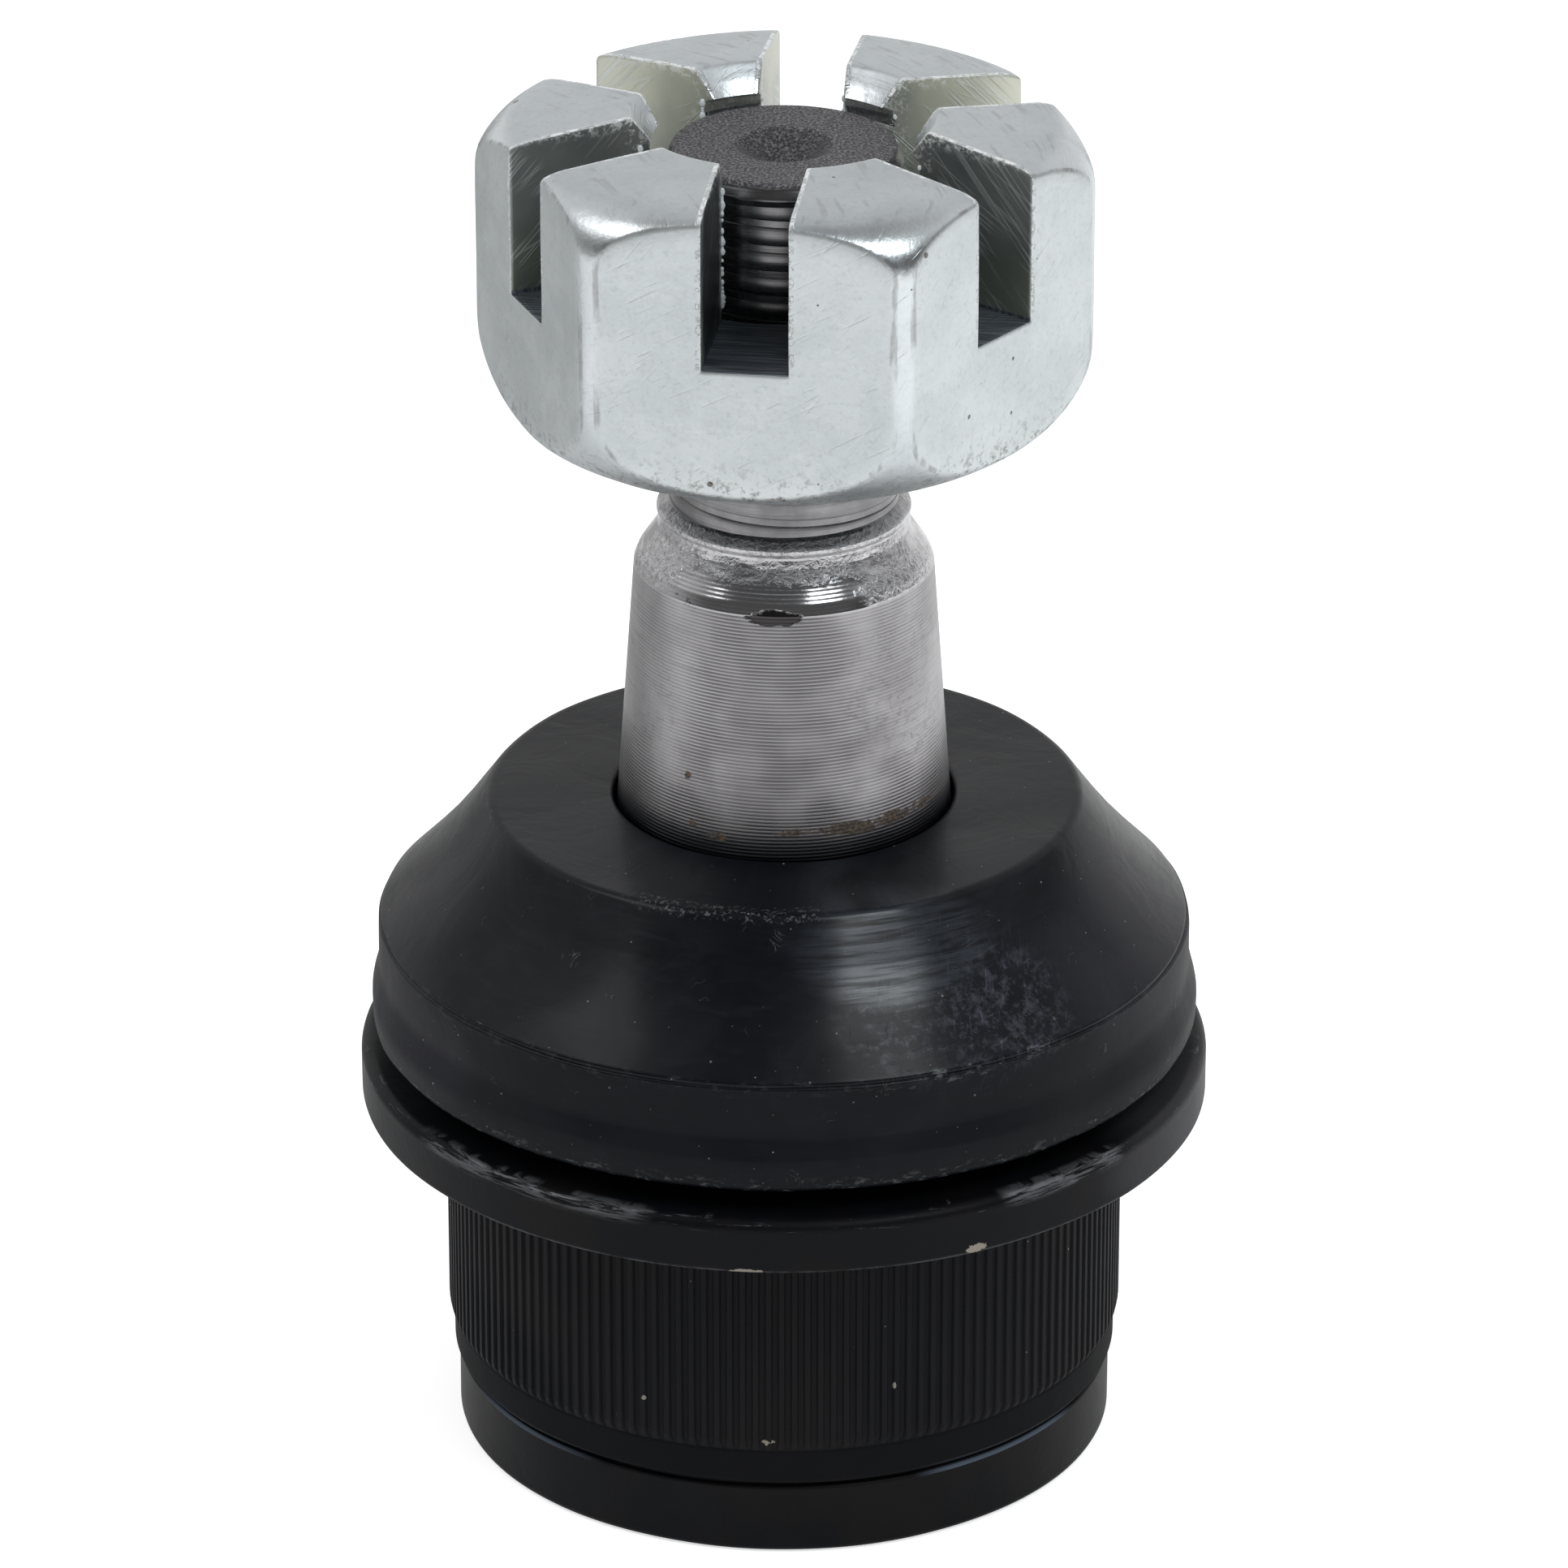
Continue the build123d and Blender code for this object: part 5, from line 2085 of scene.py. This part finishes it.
@dataclass
class InnerPieces:
    """The CAD nodes that stay as they are, and a copy of the check valve's spring."""

    finishes: Mapping[str, Finish] = field(
        default_factory=lambda: {
            "upper_bearing": SINTERED,
            "lower_bearing": SINTERED,
            "preload_spring": SPRING,
            "cover_plate": COVER,
            "grease_fitting": BRASS,
            "fitting_check_ball": SPRING,
            "boot_base_ring": RING,
            "boot_lip_ring": SPRING,
        }
    )

    ball_lift: float = 0.0009

    def build(self) -> list[bpy.types.Object]:
        """Gives each node its finish and makes the spring."""
        for node, finish in self.finishes.items():
            dress(frame["nodes"][node], finish)
        return [*(frame["nodes"][node] for node in self.finishes), self.check_spring()]

    def check_spring(self) -> bpy.types.Object:
        """A copy of the spring's node, riding on the housing."""
        node = "fitting_check_spring"
        spring = new_object("check_spring_coil", frame["nodes"][node].data.copy())
        tidy_mesh(spring.data)
        dress(spring, SPRING)
        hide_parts(node)
        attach(spring, "housing")
        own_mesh(spring)
        return spring


# --- Studio ------------------------------------------------------------------------------------


@dataclass(frozen=True)
class Softbox:
    """One rectangular lamp that faces the object and looks as bright as its level."""

    name: str
    side: float
    lift: float
    distance: float
    size: tuple[float, float]
    level: float
    colour: tuple[float, float, float] = WHITE

    def place(self, target: Vector) -> None:
        """Adds the lamp, side degrees from the camera's side and lift degrees above the floor."""
        data = bpy.data.lights.new(self.name, "AREA")
        data.shape = "RECTANGLE"
        data.size, data.size_y = self.size
        data.energy = self.level * math.pi * self.size[0] * self.size[1]
        data.color = self.colour
        aim(new_object(self.name, data), target, self.side, self.lift, self.distance)


def aim(thing: bpy.types.Object, target: Vector, side: float, lift: float, distance: float) -> None:
    """Puts a lamp or camera side degrees from the camera's side, facing the target."""
    offset = towards(FRONT_ANGLE + side, lift) * distance
    thing.location = target + offset
    thing.rotation_euler = (-offset).to_track_quat("-Z", "Y").to_euler()


def towards(angle: float, lift: float) -> Vector:
    """Unit direction at an angle from +X and a lift above the floor, both in degrees."""
    a, e = math.radians(angle), math.radians(lift)
    return Vector((math.cos(a) * math.cos(e), math.sin(a) * math.cos(e), math.sin(e)))


def across_and_ahead(x: Channel, y: Channel) -> tuple[Channel, Channel]:
    """The parts of a vector to the camera's right and towards the camera."""
    right, front = towards(FRONT_ANGLE + 90.0, 0.0), towards(FRONT_ANGLE, 0.0)
    return x * right.x + y * right.y, x * front.x + y * front.y


def ray(graph: Graph, kind: str) -> Channel:
    """1 for the rays of one kind."""
    return Channel(graph, graph.node("ShaderNodeLightPath").outputs[f"Is {kind} Ray"])


@dataclass
class Studio:
    """Pale floor, soft lamps, a pale surround that dims high in front, and the camera."""

    target: Vector = field(default_factory=lambda: Vector((0.0, 0.0, 0.05319)))
    camera_lift: float = 24.81
    camera_distance: float = 0.70944
    lens: float = 211.5
    floor_reach: float = 6.0
    softboxes: tuple[Softbox, ...] = (
        Softbox("key_right", 38.0, 51.0, 0.75, (0.26, 0.24), 6.3, (0.93, 0.98, 1.0)),
        Softbox("fill_left", -76.0, 50.0, 0.85, (0.42, 0.26), 2.7),
    )
    dome: float = 0.62

    def floor(self) -> bpy.types.Object:
        """A wide floor at the object's lowest point, white to the camera and to shiny metal."""
        reach = self.floor_reach
        mesh = bpy.data.meshes.new("floor")
        corners = [(-reach, -reach, 0), (reach, -reach, 0), (reach, reach, 0), (-reach, reach, 0)]
        mesh.from_pydata(corners, [], [(0, 1, 2, 3)])
        plane = new_object("floor", mesh)
        plane.location.z = CAD_BOX[0].z - 0.0001
        material = bpy.data.materials.new("pale_floor")
        material.use_nodes = True
        graph = Graph(material.node_tree)
        seen, mirrored = ray(graph, "Camera"), ray(graph, "Glossy")
        mirrored = mirrored.at_least(ray(graph, "Transmission"))
        x, y, _ = graph.split(graph.node("ShaderNodeTexCoord").outputs["Object"])
        across, ahead = across_and_ahead(x, y)
        bright = 0.12 * ahead.rise(-0.02, 0.12) + 0.28 * across.rise(-0.17, -0.02)
        bright = bright + 0.20 * across.rise(0.0, 0.20)
        wings = 0.28 * across.fall(-0.15, -0.05)
        bright = bright + wings * ahead.rise(-0.06, 0.06)
        middle = across.band(-0.03, 0.05, 0.06) * ahead.rise(0.05, 0.15)
        glow = 0.62 * seen + (bright - 0.12 * middle) * mirrored
        far_left = across.fall(-0.06, -0.01) * ahead.fall(-0.05, 0.01) * mirrored
        tone = graph.mix((0.86, 0.86, 0.86), (0.60, 0.60, 0.60), far_left)
        diffuse = graph.node("ShaderNodeBsdfDiffuse", {}, {"Color": tone})
        light = graph.node("ShaderNodeEmission", {}, {"Color": WHITE, "Strength": glow})
        both = graph.node("ShaderNodeAddShader", {}, {0: diffuse.outputs[0], 1: light.outputs[0]})
        graph.node("ShaderNodeOutputMaterial", {}, {"Surface": both.outputs[0]})
        mesh.materials.append(material)
        return plane

    def surround(self) -> None:
        """The world: white to the camera, pale round the horizon and dim high in front."""
        world = bpy.data.worlds.new("studio")
        world.use_nodes = True
        bpy.context.scene.world = world
        graph = Graph(world.node_tree)
        x, y, z = graph.split(graph.node("ShaderNodeTexCoord").outputs["Generated"])
        beside, facing = across_and_ahead(x, y)
        overhead = z.rise(0.75, 1.0)
        behind = 0.95 - 0.20 * z.rise(0.05, 0.42) + 0.04 * z.rise(0.45, 0.8)
        before = 0.34 - 0.24 * z.rise(0.0, 0.22)
        level = behind + (before - behind) * facing.rise(-0.2, 0.6)
        level = level + (0.34 - level) * overhead
        flags = 0.75 * beside.rise(0.70, 0.90) + 0.45 * beside.fall(-0.90, -0.70)
        level = level * (1.0 - flags * z.band(-0.05, 0.36, 0.1))
        seen, lit = ray(graph, "Camera"), ray(graph, "Diffuse")
        strength = (level + (self.dome - level) * lit) * (1.0 - seen) + seen
        shade = graph.node("ShaderNodeBackground", {}, {"Color": WHITE, "Strength": strength})
        graph.node("ShaderNodeOutputWorld", {}, {"Surface": shade.outputs[0]})

    def camera(self) -> bpy.types.Object:
        """The camera, level, with the product's axis in the middle of the picture."""
        data = bpy.data.cameras.new("camera")
        data.lens = self.lens
        data.sensor_width = 36.0
        data.clip_start, data.clip_end = 0.01, 20.0
        made = new_object("camera", data)
        aim(made, self.target, 0.0, self.camera_lift, self.camera_distance)
        bpy.context.scene.camera = made
        return made

    def build(self) -> None:
        """Sets up the floor, the surround, the lamps and the camera."""
        self.floor()
        self.surround()
        for softbox in self.softboxes:
            softbox.place(self.target)
        self.camera()
        bpy.context.scene.view_settings.view_transform = "Standard"


def main() -> None:
    """Builds every piece and the studio."""
    logging.basicConfig(level=logging.INFO, format="%(name)s: %(message)s")
    ring, helix = ring_of_copies(), helical_ridge()
    builders: list[Callable[[], list[bpy.types.Object]]] = [
        lambda: Housing().build(ring),
        DustBoot().build,
        lambda: BallStud().build(helix),
        lambda: CastleNut().build(ring, helix),
        InnerPieces().build,
    ]
    for build in builders:
        for piece in build():
            log.info("%s: %d faces", piece.name, len(piece.data.polygons))
    Studio().build()


if __name__ == "__main__":
    main()
